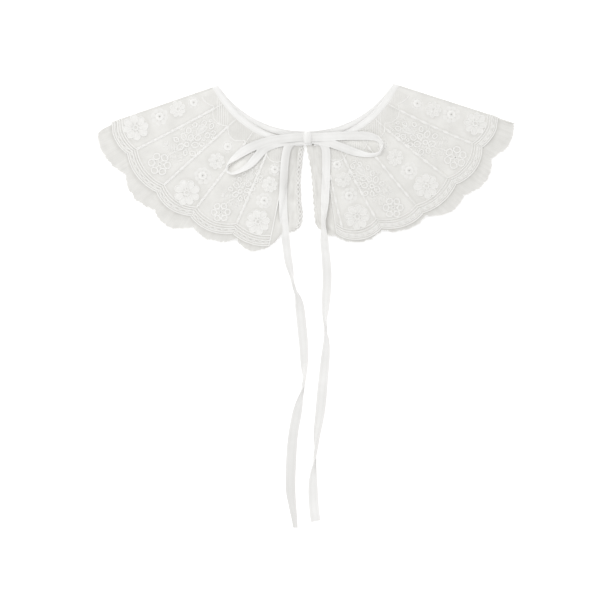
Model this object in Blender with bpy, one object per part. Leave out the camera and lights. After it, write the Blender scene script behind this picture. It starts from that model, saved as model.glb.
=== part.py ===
"""A two-layer lace false collar that lies flat on its back, with its neck towards +Y.

Each side is folded in half along its shoulder, so the front half of both layers lies on the back half.
The fronts are held by a ribbon bow, whose two tails lie down the middle. Lengths in the tables are in
millimetres and angles in degrees. Angles are counted from the centre front line, around the point where
the two shoulder folds would meet, and radii are counted from that same point.
"""

from collections import namedtuple
from math import atan2, cos, degrees, hypot, pi, radians, sin

import bmesh
import bpy
from mathutils import Vector

MM = 0.001

# Cut of the collar
APEX_Y = 113.0
SHOULDER = {-1: 71.0, 1: 72.2}
FRONT_NECK, SHOULDER_NECK, BACK_NECK = 84.0, 91.7, 75.4
FRONT_NECK_CURVE, BACK_NECK_CURVE = 2.0, 1.85
BINDING_WIDTH = 7.0

# Thickness of the layers
WALL = 1.0
LAYER_GAP = 0.35
AIR_GAP = 0.8
SEAM_GAP = 0.3
UNDER_TURN = (AIR_GAP + WALL) / 2
LACE_TURN = UNDER_TURN + WALL + LAYER_GAP
STACK_MIDDLE = LACE_TURN + WALL / 2
STACK_TOP = 2 * STACK_MIDDLE

# Raised cords of the lace: along the gores, in arcs between them near the neck, and in the border
CORD_HALF_WIDTH, CORD_HEIGHT = 1.3, 0.6
ARC_NOTCH, ARC_BULGE, ARC_HEIGHT = 104.0, 7.0, 0.4
BORDER_WIDTH, BORDER_HEIGHT, BORDER_SLOPE = 11.0, 0.4, 1.0

# A gore cord bends from its angle at the neck to its angle at the hem. Each row's scallops run from that
# cord to the next one towards the shoulder, and bulge beyond the notches at their ends.
NECK_END, HEM_END = 105.0, 190.0
Gore = namedtuple("Gore", "neck_angle hem_angle notch bulge")
LACE_FRONT = {
    -1: [
        Gore(10.0, 10.6, 193.6, 3.2),
        Gore(21.5, 22.2, 192.0, 5.5),
        Gore(34.3, 35.6, 197.0, 5.3),
        Gore(47.3, 47.4, 201.6, 4.7),
        Gore(59.6, 60.8, 203.0, 6.5),
    ],
    1: [
        Gore(11.4, 12.2, 186.5, 5.1),
        Gore(20.5, 23.9, 188.5, 5.1),
        Gore(34.3, 36.6, 196.6, 3.7),
        Gore(47.6, 49.3, 198.0, 6.2),
        Gore(59.6, 62.2, 199.0, 7.5),
    ],
}
# On the right the lace runs on past its first gore cord, to a plain turned edge.
LACE_EDGE = {-1: None, 1: Gore(10.6, 9.75, 180.0, 0.5)}
UNDER_FRONT = {
    -1: [
        Gore(0.9, 1.7, 167.0, 4.5),
        Gore(8.6, 7.8, 181.0, 13.0),
        Gore(21.0, 20.6, 196.0, 6.5),
        Gore(34.3, 33.6, 205.0, 9.0),
        Gore(47.3, 45.0, 215.0, 7.0),
        Gore(59.6, 57.4, 215.0, 11.5),
    ],
    1: [
        Gore(1.6, 3.6, 169.0, 4.0),
        Gore(10.2, 9.3, 182.3, 8.5),
        Gore(20.5, 23.6, 190.0, 7.0),
        Gore(34.3, 36.7, 199.5, 9.0),
        Gore(47.6, 48.4, 210.5, 8.5),
        Gore(59.6, 60.7, 212.0, 12.0),
    ],
}

# The hidden back repeats the gores, a little shorter than the front that covers it, and opens at the
# centre back as the front does.
BACK_FIRST, BACK_PITCH = 67.8, 12.3
LACE_BACK_EDGE, UNDER_BACK_EDGE = 13.2, 4.2
BACK_INSET, BACK_SCALLOP = 1.0, 3.0
SCALLOP_POWER = 0.8

# Soft folds of the front: ridges that start under the bow and run out towards the hem.
Fold = namedtuple("Fold", "angle half_width start crest end height")
FOLDS = {
    -1: [
        Fold(16.0, 6.0, 97.0, 138.0, 190.0, 2.8),
        Fold(29.5, 6.5, 97.0, 132.0, 186.0, 3.4),
        Fold(44.0, 8.0, 103.0, 160.0, 222.0, 2.0),
        Fold(56.5, 6.0, 115.0, 175.0, 226.0, 1.4),
    ],
    1: [
        Fold(15.5, 5.5, 97.0, 136.0, 188.0, 2.6),
        Fold(28.0, 7.0, 97.0, 128.0, 184.0, 3.2),
        Fold(43.0, 8.0, 103.0, 166.0, 222.0, 2.2),
        Fold(56.0, 6.0, 118.0, 180.0, 226.0, 1.2),
    ],
}

# The folds fade out over this run, which starts at this distance from the shoulder.
LIFT_START, LIFT_RUN = 8.0, 24.0

# Where the lace below it ends, the under layer comes down by the lace's thickness.
DROP = WALL + LAYER_GAP
DROP_RUN, EDGE_DROP_RUN, DROP_CLEAR = 7.0, 12.0, 0.6

# Meshes: steps between two gores and to a plain edge, rows from neck to hem, steps round a shoulder fold and along the
# binding, the last line's angle before a shoulder fold, and the angle at which an edge counts as sharp
FRONT_STEPS, BACK_STEPS, EDGE_STEPS = 5, 4, 2
LACE_ROWS, UNDER_ROWS, DROP_ROWS = 8, 7, 3
FOLD_STEPS, BINDING_STEPS = 4, 12
FOLD_MARGIN, SMOOTH_ANGLE = 2.8, 40.0

# Ribbon tie
RIBBON_WIDTH, RIBBON_WALL, RIBBON_CLEAR = 7.4, 1.0, 0.4
RIBBON_STEP, RIBBON_SLOPE, FLOOR_CLEAR = 5.0, 0.4, 0.2
KNOT_CENTRE, KNOT_SIZE = (2.2, 30.6, 7.1), (9.4, 13.6, 8.8)
KNOT_BEVEL, KNOT_SEGMENTS = 3.0, 3
BINDING_END, BINDING_ROUND = {-1: 2.2, 1: 5.6}, 0.6

# Routes: plan place, least height of the ribbon's lower side, and its turn about its own line, where
# 0 lies flat and 90 stands on edge.
Spot = namedtuple("Spot", "x y low turn")
LOOP_LEFT = [
    Spot(-3.0, 31.4, 9.3, 0),
    Spot(-17.0, 30.2, 10.2, 0),
    Spot(-33.0, 28.6, 9.2, 8),
    Spot(-49.0, 24.4, 6.4, 20),
    Spot(-61.0, 18.6, 6.4, 30),
    Spot(-71.5, 10.0, 6.4, 50),
    Spot(-77.3, 3.0, 6.4, 75),
    Spot(-77.6, -2.2, 6.4, 90),
    Spot(-72.6, -4.6, 6.4, 100),
    Spot(-64.4, -2.4, 6.4, 120),
    Spot(-55.3, 5.6, 6.4, 140),
    Spot(-47.0, 13.0, 6.4, 150),
    Spot(-37.0, 19.6, 7.8, 160),
    Spot(-24.0, 25.2, 8.6, 172),
    Spot(-3.0, 28.4, 7.4, 180),
]
LOOP_RIGHT = [
    Spot(7.4, 31.0, 9.2, 0),
    Spot(22.0, 31.6, 9.4, 0),
    Spot(38.0, 32.2, 8.2, 10),
    Spot(52.0, 31.8, 6.4, 20),
    Spot(64.0, 30.6, 6.4, 35),
    Spot(73.0, 28.0, 6.4, 60),
    Spot(77.0, 22.0, 6.4, 85),
    Spot(73.4, 15.8, 6.4, 100),
    Spot(64.0, 13.8, 6.4, 125),
    Spot(51.0, 17.4, 6.4, 145),
    Spot(38.0, 21.8, 7.2, 160),
    Spot(24.0, 26.2, 8.0, 172),
    Spot(7.4, 28.6, 7.3, 180),
]
TAIL_LEFT = [
    Spot(-3.0, 28.6, 5.9, 0),
    Spot(-10.5, 27.4, 5.9, 0),
    Spot(-16.6, 22.6, 5.9, 0),
    Spot(-19.4, 14.0, 0, 8),
    Spot(-21.0, 0.0, 0, 12),
    Spot(-22.2, -31.0, 0, 8),
    Spot(-21.4, -52.0, 0, 0),
    Spot(-19.4, -72.0, 0, 4),
    Spot(-16.8, -93.0, 0, 30),
    Spot(-13.4, -106.0, 0, 60),
    Spot(-11.2, -117.0, 0, 90),
    Spot(-7.0, -129.0, 0, 130),
    Spot(-5.0, -143.0, 0, 172),
    Spot(-3.2, -160.0, 0, 180),
    Spot(-1.6, -178.0, 0, 192),
    Spot(-1.2, -196.0, 0, 222),
    Spot(-2.2, -214.0, 0, 266),
    Spot(-5.6, -231.0, 0, 312),
    Spot(-9.2, -249.0, 0, 352),
    Spot(-12.4, -268.0, 0, 360),
    Spot(-14.2, -292.0, 0, 366),
    Spot(-14.8, -318.0, 0, 376),
    Spot(-13.2, -334.0, 0, 396),
    Spot(-10.6, -350.0, 0, 414),
    Spot(-9.4, -358.6, 0, 420),
]
TAIL_RIGHT = [
    Spot(7.4, 28.8, 5.9, 0),
    Spot(14.0, 28.0, 5.9, 0),
    Spot(19.4, 22.0, 5.9, 0),
    Spot(21.0, 12.0, 0, 0),
    Spot(20.6, -8.0, 0, 20),
    Spot(19.6, -32.0, 0, 34),
    Spot(18.8, -68.0, 0, 26),
    Spot(20.8, -90.0, 0, 8),
    Spot(21.8, -110.0, 0, 0),
    Spot(20.8, -130.0, 0, 20),
    Spot(20.0, -147.0, 0, 56),
    Spot(20.8, -160.0, 0, 92),
    Spot(21.2, -174.0, 0, 134),
    Spot(19.6, -194.0, 0, 168),
    Spot(17.4, -216.0, 0, 184),
    Spot(14.8, -243.0, 0, 196),
    Spot(11.6, -264.0, 0, 226),
    Spot(9.2, -287.0, 0, 268),
    Spot(7.8, -308.0, 0, 322),
    Spot(7.8, -324.0, 0, 352),
    Spot(9.0, -342.0, 0, 360),
    Spot(10.4, -352.4, 0, 360),
]

Finish = namedtuple("Finish", "name colour roughness")
LACE_FINISH = Finish("embroidered_lace", (0.90, 0.89, 0.86, 1.0), 0.85)
UNDER_FINISH = Finish("organza", (0.87, 0.86, 0.83, 1.0), 0.7)
RIBBON_FINISH = Finish("ribbon", (0.94, 0.93, 0.91, 1.0), 0.6)

# One line of points from neck to hem. Shift moves it sideways by a length, and bend is FRONT, BACK or,
# round a shoulder fold, between them. Cord is 1 where the line runs along the top of a raised gore cord.
FRONT, BACK = -90.0, 90.0
Line = namedtuple("Line", "neck_angle hem_angle shift bend cord")


def blend(start, end, share):
    return start + (end - start) * share


def smooth(share):
    share = min(max(share, 0.0), 1.0)
    return share * share * (3 - 2 * share)


def shares(steps):
    return [step / steps for step in range(steps + 1)]


def neckline(side, bend, angle):
    """Radius of the binding's free edge, on the front or on the higher back."""
    centre, power = (FRONT_NECK, FRONT_NECK_CURVE) if bend <= 0 else (BACK_NECK, BACK_NECK_CURVE)
    return blend(centre, SHOULDER_NECK, min(angle / SHOULDER[side], 1.0) ** power)


def scallop(share):
    return sin(pi * min(max(share, 0.0), 1.0)) ** SCALLOP_POWER


def line_angle(neck_angle, hem_angle, radius):
    return blend(neck_angle, hem_angle, (radius - NECK_END) / (HEM_END - NECK_END))


def fold_lines(side, turn):
    """Lines round the half circle in which a layer turns from the front to the back."""
    lines = []
    for share in shares(FOLD_STEPS):
        bend = blend(FRONT, BACK, share)
        shift = turn * cos(radians(bend)) - LACE_TURN
        lines.append(Line(SHOULDER[side], SHOULDER[side], shift, bend, 0))
    return lines


def lift(side, angle, radius):
    """Height of the front's soft folds, which die out before the shoulder."""
    height = 0.0
    for fold in FOLDS[side]:
        off = (angle - fold.angle) / fold.half_width
        if abs(off) < 1.0:
            rise = smooth((radius - fold.start) / (fold.crest - fold.start))
            fall = 1 - smooth((radius - fold.crest) / (fold.end - fold.crest))
            height += fold.height * (0.5 + 0.5 * cos(pi * off)) * rise * fall
    from_shoulder = radius * radians(SHOULDER[side] - angle)
    return height * smooth((from_shoulder - LIFT_START) / LIFT_RUN)


class Layer:
    """One layer of one side: the cut of its front, and how it turns round the shoulder to the back."""

    def __init__(self, side, gores, turn, back_edge, front_edge=None):
        self.side, self.turn, self.back_edge, self.front_edge = side, turn, back_edge, front_edge
        self.gores = [front_edge] + gores if front_edge else gores

    def sector(self, angle):
        """The gore before an angle on the front, the next gore's notch, and the share of the way to it."""
        for near, far in zip(self.gores, self.gores[1:]):
            if angle <= far.hem_angle:
                return near, far.notch, (angle - near.hem_angle) / (far.hem_angle - near.hem_angle)
        last, next_angle = self.gores[-1], 2 * SHOULDER[self.side] - BACK_FIRST
        share = (angle - last.hem_angle) / (next_angle - last.hem_angle)
        return last, last.notch - BACK_INSET - BACK_SCALLOP, share

    def front_hem(self, angle):
        near, next_notch, share = self.sector(angle)
        return blend(near.notch, next_notch, share) + near.bulge * scallop(share)

    def back_hem(self, angle):
        """The back's hem, which repeats the scallops just inside the front's notches."""
        if angle > BACK_FIRST:
            return self.front_hem(2 * SHOULDER[self.side] - angle)
        if angle > self.gores[-1].hem_angle:
            notches = self.gores[-1].notch
        else:
            near, next_notch, share = self.sector(angle)
            notches = blend(near.notch, next_notch, max(share, 0.0))
        share = ((BACK_FIRST - angle) / BACK_PITCH) % 1.0
        return notches - BACK_INSET - BACK_SCALLOP * (1 - scallop(share))

    def hem(self, line):
        return self.back_hem(line.hem_angle) if line.bend == BACK else self.front_hem(line.hem_angle)

    def arc(self, line):
        """Radius of the row of arcs near the neck, with a notch on each gore."""
        share = self.sector(line.hem_angle)[2]
        if line.bend > 0:
            share = (BACK_FIRST - line.hem_angle) / BACK_PITCH % 1
        return ARC_NOTCH + ARC_BULGE * scallop(share)

    def neck(self, line):
        return neckline(self.side, line.bend, line.neck_angle) + BINDING_WIDTH + SEAM_GAP

    def lines(self, cord_steps):
        """The layer's lines from its front edge, round the shoulder fold, to its back edge."""
        lines = []
        shoulder = Gore(SHOULDER[self.side] - FOLD_MARGIN, SHOULDER[self.side] - FOLD_MARGIN, 0, 0)
        for near, far in zip(self.gores, self.gores[1:] + [shoulder]):
            plain = near is self.front_edge
            for step in cord_steps[:1] if plain else cord_steps:
                shift, cord = step * CORD_HALF_WIDTH, 1 - abs(step)
                lines.append(Line(near.neck_angle, near.hem_angle, shift, FRONT, cord))
            for share in shares(EDGE_STEPS if plain else FRONT_STEPS)[1:-1]:
                neck_angle = blend(near.neck_angle, far.neck_angle, share)
                lines.append(Line(neck_angle, blend(near.hem_angle, far.hem_angle, share), 0, FRONT, 0))
        lines += fold_lines(self.side, self.turn)
        stations = [BACK_FIRST]
        while stations[-1] - BACK_PITCH > self.back_edge:
            stations.append(stations[-1] - BACK_PITCH)
        if self.back_edge < LACE_BACK_EDGE < stations[-1]:
            stations.append(LACE_BACK_EDGE)
        for near, far in zip(stations, stations[1:] + [self.back_edge]):
            angles = [blend(near, far, share) for share in shares(BACK_STEPS)[:-1]]
            lines += [Line(angle, angle, 0, BACK, 0) for angle in angles]
        return lines + [Line(self.back_edge, self.back_edge, 0, BACK, 0)]

    def angle(self, line, radius):
        return line_angle(line.neck_angle, line.hem_angle, radius)

    def lift(self, line, radius):
        return lift(self.side, self.angle(line, radius), radius) if line.bend == FRONT else 0.0


def cloth_point(side, line, turn, radius, off, height):
    """A point at a distance off a layer's middle surface, along the cloth's own outward direction."""
    outward, upward = cos(radians(line.bend)), -sin(radians(line.bend))
    angle = line_angle(line.neck_angle, line.hem_angle, radius)
    angle += degrees((line.shift + off * outward) / radius)
    x, y = side * radius * sin(radians(angle)), APEX_Y - radius * cos(radians(angle))
    return Vector((x, y, STACK_MIDDLE + (turn + off) * upward + height)) * MM


LACE = {
    side: Layer(side, LACE_FRONT[side], LACE_TURN, LACE_BACK_EDGE, LACE_EDGE[side])
    for side in (-1, 1)
}
UNDER = {side: Layer(side, UNDER_FRONT[side], UNDER_TURN, UNDER_BACK_EDGE) for side in (-1, 1)}


def under_drop(side, angle, radius, bend):
    """How far the under layer comes down past the hem and the back edge of the lace that carries it."""
    lace_hem = LACE[side].back_hem(angle) if bend == BACK else LACE[side].front_hem(angle)
    past_hem = (radius - lace_hem - DROP_CLEAR) / DROP_RUN
    past_edge = (radius * radians(LACE_BACK_EDGE - angle) - DROP_CLEAR) / EDGE_DROP_RUN
    return DROP * smooth(max(past_hem, past_edge))


def closed_wall(name, outer, inner, finish):
    """A solid between two grids of points that match row by row, with a rim round all four edges."""
    shape = bmesh.new()
    top = [[shape.verts.new(point) for point in line] for line in outer]
    low = [[shape.verts.new(point) for point in line] for line in inner]
    for a, b, c, d in zip(top, top[1:], low, low[1:]):
        for row in range(len(a) - 1):
            shape.faces.new((a[row], a[row + 1], b[row + 1], b[row]))
            shape.faces.new((c[row], d[row], d[row + 1], c[row + 1]))
        for row in (0, -1):
            shape.faces.new((a[row], b[row], d[row], c[row]))
    for a, c in ((top[0], low[0]), (top[-1], low[-1])):
        for row in range(len(a) - 1):
            shape.faces.new((a[row], c[row], c[row + 1], a[row + 1]))
    bmesh.ops.recalc_face_normals(shape, faces=shape.faces)
    mesh = bpy.data.meshes.new(name)
    shape.to_mesh(mesh)
    shape.free()
    return place(name, mesh, finish)


def place(name, mesh, finish):
    piece = bpy.data.objects.new(name, mesh)
    bpy.context.scene.collection.objects.link(piece)
    material = bpy.data.materials.get(finish.name) or bpy.data.materials.new(finish.name)
    material.use_nodes = True
    shader = material.node_tree.nodes["Principled BSDF"]
    shader.inputs["Base Color"].default_value = finish.colour
    shader.inputs["Roughness"].default_value = finish.roughness
    shader.inputs["Metallic"].default_value = 0.0
    mesh.materials.append(material)
    mesh.shade_smooth()
    mesh.set_sharp_from_angle(angle=radians(SMOOTH_ANGLE))
    return piece


def lace_side(name, side):
    """The embroidered layer of one side, with its gore cords and its border raised on the front."""
    layer = LACE[side]
    outer, inner = [], []
    for line in layer.lines((-1, 0, 1)):
        hem = layer.hem(line)
        arc, border = layer.arc(line), hem - BORDER_WIDTH
        rows = [(layer.neck(line), 0), (arc - CORD_HALF_WIDTH, 0), (arc, ARC_HEIGHT)]
        rows += [(blend(arc + CORD_HALF_WIDTH, border, share), 0) for share in shares(LACE_ROWS)]
        rows += [(border + BORDER_SLOPE, BORDER_HEIGHT), (hem - BORDER_SLOPE, BORDER_HEIGHT), (hem, 0)]
        outer_line, inner_line = [], []
        for radius, row_height in rows:
            height = layer.lift(line, radius)
            relief = max(CORD_HEIGHT * line.cord, row_height) if line.bend == FRONT else 0
            outer_line.append(cloth_point(side, line, layer.turn, radius, WALL / 2 + relief, height))
            inner_line.append(cloth_point(side, line, layer.turn, radius, -WALL / 2, height))
        outer.append(outer_line)
        inner.append(inner_line)
    return closed_wall(name, outer, inner, LACE_FINISH)


def under_side(name, side):
    """The plain layer of one side, which shows past the lace's hem and at the centre front."""
    layer = UNDER[side]
    outer, inner = [], []
    for line in layer.lines((0,)):
        hem = layer.hem(line)
        edge = min(LACE[side].hem(line) + DROP_CLEAR, hem - DROP_CLEAR)
        rows = [blend(layer.neck(line), edge, share) for share in shares(UNDER_ROWS)]
        rows += [blend(edge, hem, share) for share in shares(DROP_ROWS)[1:]]
        outer_line, inner_line = [], []
        for radius in rows:
            angle = layer.angle(line, radius)
            height = layer.lift(line, radius) - under_drop(side, angle, radius, line.bend)
            outer_line.append(cloth_point(side, line, layer.turn, radius, WALL / 2, height))
            inner_line.append(cloth_point(side, line, layer.turn, radius, -WALL / 2, height))
        outer.append(outer_line)
        inner.append(inner_line)
    return closed_wall(name, outer, inner, UNDER_FINISH)


def span_lines(start, end, bend):
    angles = [blend(start, end, share) for share in shares(BINDING_STEPS)]
    return [Line(angle, angle, 0, bend, 0) for angle in angles]


def neck_binding():
    """One folded strip along the whole neckline, from the left front end round the back to the right."""
    turn = (UNDER_TURN + LACE_TURN) / 2
    half = (LACE_TURN - UNDER_TURN + WALL) / 2
    section = [(0, half - BINDING_ROUND), (BINDING_ROUND, half)]
    section += [(BINDING_WIDTH - across, off) for across, off in section[::-1]]
    grids = [], []
    for side in (-1, 1):
        fold = SHOULDER[side] - FOLD_MARGIN
        lines = span_lines(BINDING_END[side], fold, FRONT) + fold_lines(side, turn)
        lines += span_lines(fold, 0, BACK)
        for line in lines if side == -1 else lines[-2::-1]:
            neck = neckline(side, line.bend, line.neck_angle)
            for grid, sign in zip(grids, (1, -1)):
                places = [(neck + across, sign * off) for across, off in section]
                grid.append([cloth_point(side, line, turn, radius, off, 0) for radius, off in places])
    return closed_wall("neck_binding", *grids, RIBBON_FINISH)


def top_height(x, y):
    """Height of what lies under a plan point: lace, under layer, binding, back band or the floor."""
    side = -1 if x < 0 else 1
    angle, radius = degrees(atan2(abs(x), APEX_Y - y)), hypot(x, APEX_Y - y)
    neck = neckline(side, FRONT, angle)
    if radius < neck:
        return STACK_MIDDLE if radius > neckline(side, BACK, angle) else 0
    if radius < neck + BINDING_WIDTH:
        return STACK_TOP
    for layer, top in ((LACE[side], STACK_TOP + CORD_HEIGHT), (UNDER[side], STACK_TOP - WALL - LAYER_GAP)):
        edge = layer.gores[0]
        past_edge = radius * radians(angle - line_angle(edge.neck_angle, edge.hem_angle, radius))
        if past_edge > -RIBBON_STEP and radius < layer.front_hem(angle) + RIBBON_STEP:
            drop = 0 if layer is LACE[side] else under_drop(side, angle, radius, FRONT)
            return top + lift(side, angle, radius) - drop
    return 0


def pass_through(before, start, end, after, t):
    """Value at a share t of the way from start to end, on a smooth curve through all four."""
    slope, bow = end - before, 2 * before - 5 * start + 4 * end - after
    twist = 3 * start - before - 3 * end + after
    return 0.5 * (2 * start + slope * t + bow * t ** 2 + twist * t ** 3)


def through(route, step):
    """Places about a step apart on a smooth curve through a route's places."""
    places = [route[0]] + route + [route[-1]]
    spots = []
    for before, start, end, after in zip(places, places[1:], places[2:], places[3:]):
        count = max(1, round(hypot(end.x - start.x, end.y - start.y) / step))
        for t in shares(count)[:-1]:
            spots.append(Spot(*[pass_through(*values, t) for values in zip(before, start, end, after)]))
    return spots + [route[-1]]


def ribbon(name, route):
    """A flat ribbon along a route, which rests on what is under it and comes down gently past an edge."""
    spots = through(route, RIBBON_STEP)
    steps = [Vector((b.x - a.x, b.y - a.y, 0)) for a, b in zip(spots, spots[1:])]
    aheads = [(a + b).normalized() for a, b in zip(steps[:1] + steps, steps + steps[-1:])]
    along = [0.0]
    for step in steps:
        along.append(along[-1] + step.length)
    rests = []
    for spot, ahead in zip(spots, aheads):
        reach = abs(cos(radians(spot.turn))) * RIBBON_WIDTH / 2
        edges = [(spot.x - ahead.y * part, spot.y + ahead.x * part) for part in (-reach, 0, reach)]
        below = max(top_height(x, y) for x, y in edges)
        rests.append(max(spot.low, below + (RIBBON_CLEAR if below else FLOOR_CLEAR)))
    upper, lower = [], []
    for spot, ahead, place_on in zip(spots, aheads, along):
        low = max(rest - RIBBON_SLOPE * abs(other - place_on) for rest, other in zip(rests, along))
        flat, upright = cos(radians(spot.turn)), sin(radians(spot.turn))
        across = Vector((-ahead.y * flat, ahead.x * flat, upright))
        face = ahead.cross(across)
        centre = Vector((spot.x, spot.y, low + (abs(upright) * RIBBON_WIDTH + abs(flat) * RIBBON_WALL) / 2))
        for grid, sign in ((upper, 1), (lower, -1)):
            middle = centre + face * (sign * RIBBON_WALL / 2)
            grid.append([(middle + across * part) * MM for part in (-RIBBON_WIDTH / 2, RIBBON_WIDTH / 2)])
    return closed_wall(name, upper, lower, RIBBON_FINISH)


def knot():
    """The wrap of ribbon that holds the bow, seated between the two ends of the binding."""
    shape = bmesh.new()
    bmesh.ops.create_cube(shape, size=1.0)
    for corner in shape.verts:
        corner.co = Vector([value * size * MM for value, size in zip(corner.co, KNOT_SIZE)])
    mesh = bpy.data.meshes.new("tie_knot")
    shape.to_mesh(mesh)
    shape.free()
    piece = place("tie_knot", mesh, RIBBON_FINISH)
    piece.location = [value * MM for value in KNOT_CENTRE]
    rounding = piece.modifiers.new("rounding", "BEVEL")
    rounding.width = KNOT_BEVEL * MM
    rounding.segments = KNOT_SEGMENTS
    return piece


def main():
    for piece in list(bpy.data.objects):
        bpy.data.objects.remove(piece)
    for side, word in ((-1, "left"), (1, "right")):
        lace_side(f"lace_{word}", side)
        under_side(f"under_{word}", side)
    neck_binding()
    knot()
    ribbon("bow_loop_left", LOOP_LEFT)
    ribbon("bow_loop_right", LOOP_RIGHT)
    ribbon("tail_left", TAIL_LEFT)
    ribbon("tail_right", TAIL_RIGHT)


main()
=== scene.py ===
# %% [markdown]
# # A lace false collar, laid flat
# A false collar is only a collar: it is worn under a knitted top so that it looks as if there were a
# blouse. This one has two layers on each side, embroidered net over plain organza, and a ribbon bow at the
# front. It lies on its back, folded along both shoulders, so each front half rests on a back half. The
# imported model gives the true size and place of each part, and this script dresses it in finer cloth.

from collections import namedtuple
from math import atan2, ceil, cos, degrees, dist, exp, hypot, pi, radians, sin
from random import Random

import bmesh
import bpy
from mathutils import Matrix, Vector, noise


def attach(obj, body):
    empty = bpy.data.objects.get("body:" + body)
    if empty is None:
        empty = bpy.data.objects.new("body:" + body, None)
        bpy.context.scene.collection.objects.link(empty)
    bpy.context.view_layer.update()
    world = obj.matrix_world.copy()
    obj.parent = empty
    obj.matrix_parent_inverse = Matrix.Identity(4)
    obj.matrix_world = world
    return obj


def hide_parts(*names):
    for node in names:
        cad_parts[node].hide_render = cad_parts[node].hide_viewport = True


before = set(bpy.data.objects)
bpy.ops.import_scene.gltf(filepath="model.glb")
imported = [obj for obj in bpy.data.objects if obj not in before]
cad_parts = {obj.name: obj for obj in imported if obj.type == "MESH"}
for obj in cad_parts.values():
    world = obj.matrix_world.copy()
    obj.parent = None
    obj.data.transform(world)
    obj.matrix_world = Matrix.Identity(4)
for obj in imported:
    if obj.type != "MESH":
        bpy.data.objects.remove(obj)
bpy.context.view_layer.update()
MM = 0.001
print("CAD nodes:", sorted(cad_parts))

# %% [markdown]
# ## Camera
# The photograph looks straight down, from far enough that nothing leans outward. A long lens does the same
# here. One millimetre of the collar is one pixel of the picture, so the distance follows from the lens and
# that width.

# %% Camera
PICTURE, PICTURE_CENTRE = 612 * MM, (0.7 * MM, -137.2 * MM)
LENS, SENSOR = 135.0, 36.0
camera = bpy.data.objects.new("camera", bpy.data.cameras.new("camera"))
camera.data.lens = LENS
camera.data.sensor_width = SENSOR
camera.location = (*PICTURE_CENTRE, PICTURE * LENS / SENSOR)
bpy.context.scene.collection.objects.link(camera)
bpy.context.scene.camera = camera
print("camera height", round(camera.location.z, 3), "m")

# %% [markdown]
# ## Light and floor
# White lace on a white table shows only by its small shadows. A broad white surrounding lights everything
# evenly, and one soft lamp from the upper left gives each thread a bright side and a dark side. The table
# glows faintly, as a light table does, so that it stays white beside the cloth.

# %% Light and floor
SKY_STRENGTH, LAMP_POWER, LAMP_SIZE = 0.86, 10.0, 1.1
LAMP_PLACE = Vector((-0.75, 0.8, 1.9))
FLOOR_SIZE, FLOOR_ROUGHNESS, FLOOR_GLOW = 6.0, 0.9, 0.35
PURE_WHITE, TABLE_WHITE = (1.0, 1.0, 1.0, 1.0), (0.9, 0.9, 0.9, 1.0)


def fill(node, values):
    """Sets the unlinked inputs of a node."""
    for socket, value in values.items():
        node.inputs[socket].default_value = value


world = bpy.data.worlds.new("studio")
world.use_nodes = True
fill(world.node_tree.nodes["Background"], {"Color": PURE_WHITE, "Strength": SKY_STRENGTH})
bpy.context.scene.world = world
bpy.context.scene.view_settings.view_transform = "Standard"

lamp = bpy.data.objects.new("key_light", bpy.data.lights.new("key_light", "AREA"))
lamp.data.energy = LAMP_POWER
lamp.data.size = LAMP_SIZE
lamp.location = LAMP_PLACE
lamp.rotation_euler = LAMP_PLACE.to_track_quat("Z", "Y").to_euler()
bpy.context.scene.collection.objects.link(lamp)

bpy.ops.mesh.primitive_plane_add(size=FLOOR_SIZE)
floor = bpy.context.object
floor.name = "floor"
floor_paint = bpy.data.materials.new("floor_paint")
floor_paint.use_nodes = True
fill(floor_paint.node_tree.nodes["Principled BSDF"], {
    "Base Color": TABLE_WHITE, "Roughness": FLOOR_ROUGHNESS,
    "Emission Color": PURE_WHITE, "Emission Strength": FLOOR_GLOW,
})
floor.data.materials.append(floor_paint)
print("floor", FLOOR_SIZE, "m wide")

# %% [markdown]
# ## The cut of the collar
# A flat cape collar is cut from a ring: angles are counted from the centre front, round the point where the
# two shoulder folds would meet, and radii from that point. The numbers below are the same as the solid's,
# so that every thread lies where the solid lies. A gore is a seam-like cord from neck to hem, and a scallop
# hangs between two gores.

# %% The cut of the collar
def table(kind, rows):
    """Named rows for both sides, from plain rows of numbers."""
    return {side: [kind(*row) for row in side_rows] for side, side_rows in rows.items()}


APEX_Y = 113.0
SHOULDER = {-1: 71.0, 1: 72.2}
FRONT_NECK, SHOULDER_NECK, BACK_NECK = 84.0, 91.7, 75.4
FRONT_NECK_CURVE, BACK_NECK_CURVE = 2.0, 1.85
BINDING_WIDTH, SEAM_GAP = 7.0, 0.3
NECK_END, HEM_END = 105.0, 190.0
Gore = namedtuple("Gore", "neck_angle hem_angle notch bulge")
LACE_FRONT = table(Gore, {
    -1: [
        (10, 10.6, 193.6, 3.2), (21.5, 22.2, 192, 5.5), (34.3, 35.6, 197, 5.3), (47.3, 47.4, 201.6, 4.7),
        (59.6, 60.8, 203, 6.5),
    ],
    1: [
        (11.4, 12.2, 186.5, 5.1), (20.5, 23.9, 188.5, 5.1), (34.3, 36.6, 196.6, 3.7),
        (47.6, 49.3, 198, 6.2), (59.6, 62.2, 199, 7.5),
    ],
})
LACE_EDGE = {-1: None, 1: Gore(10.6, 9.75, 180.0, 0.5)}
UNDER_FRONT = table(Gore, {
    -1: [
        (0.9, 1.7, 167, 4.5), (8.6, 7.8, 181, 13), (21, 20.6, 196, 6.5), (34.3, 33.6, 205, 9),
        (47.3, 45, 215, 7), (59.6, 57.4, 215, 11.5),
    ],
    1: [
        (1.6, 3.6, 169, 4), (10.2, 9.3, 182.3, 8.5), (20.5, 23.6, 190, 7), (34.3, 36.7, 199.5, 9),
        (47.6, 48.4, 210.5, 8.5), (59.6, 60.7, 212, 12),
    ],
})
BACK_FIRST, BACK_PITCH = 67.8, 12.3
LACE_BACK_EDGE, UNDER_BACK_EDGE = 13.2, 4.2
BACK_INSET, BACK_SCALLOP, SCALLOP_POWER = 1.0, 3.0, 0.8
ARC_NOTCH, ARC_BULGE = 104.0, 7.0
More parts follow.
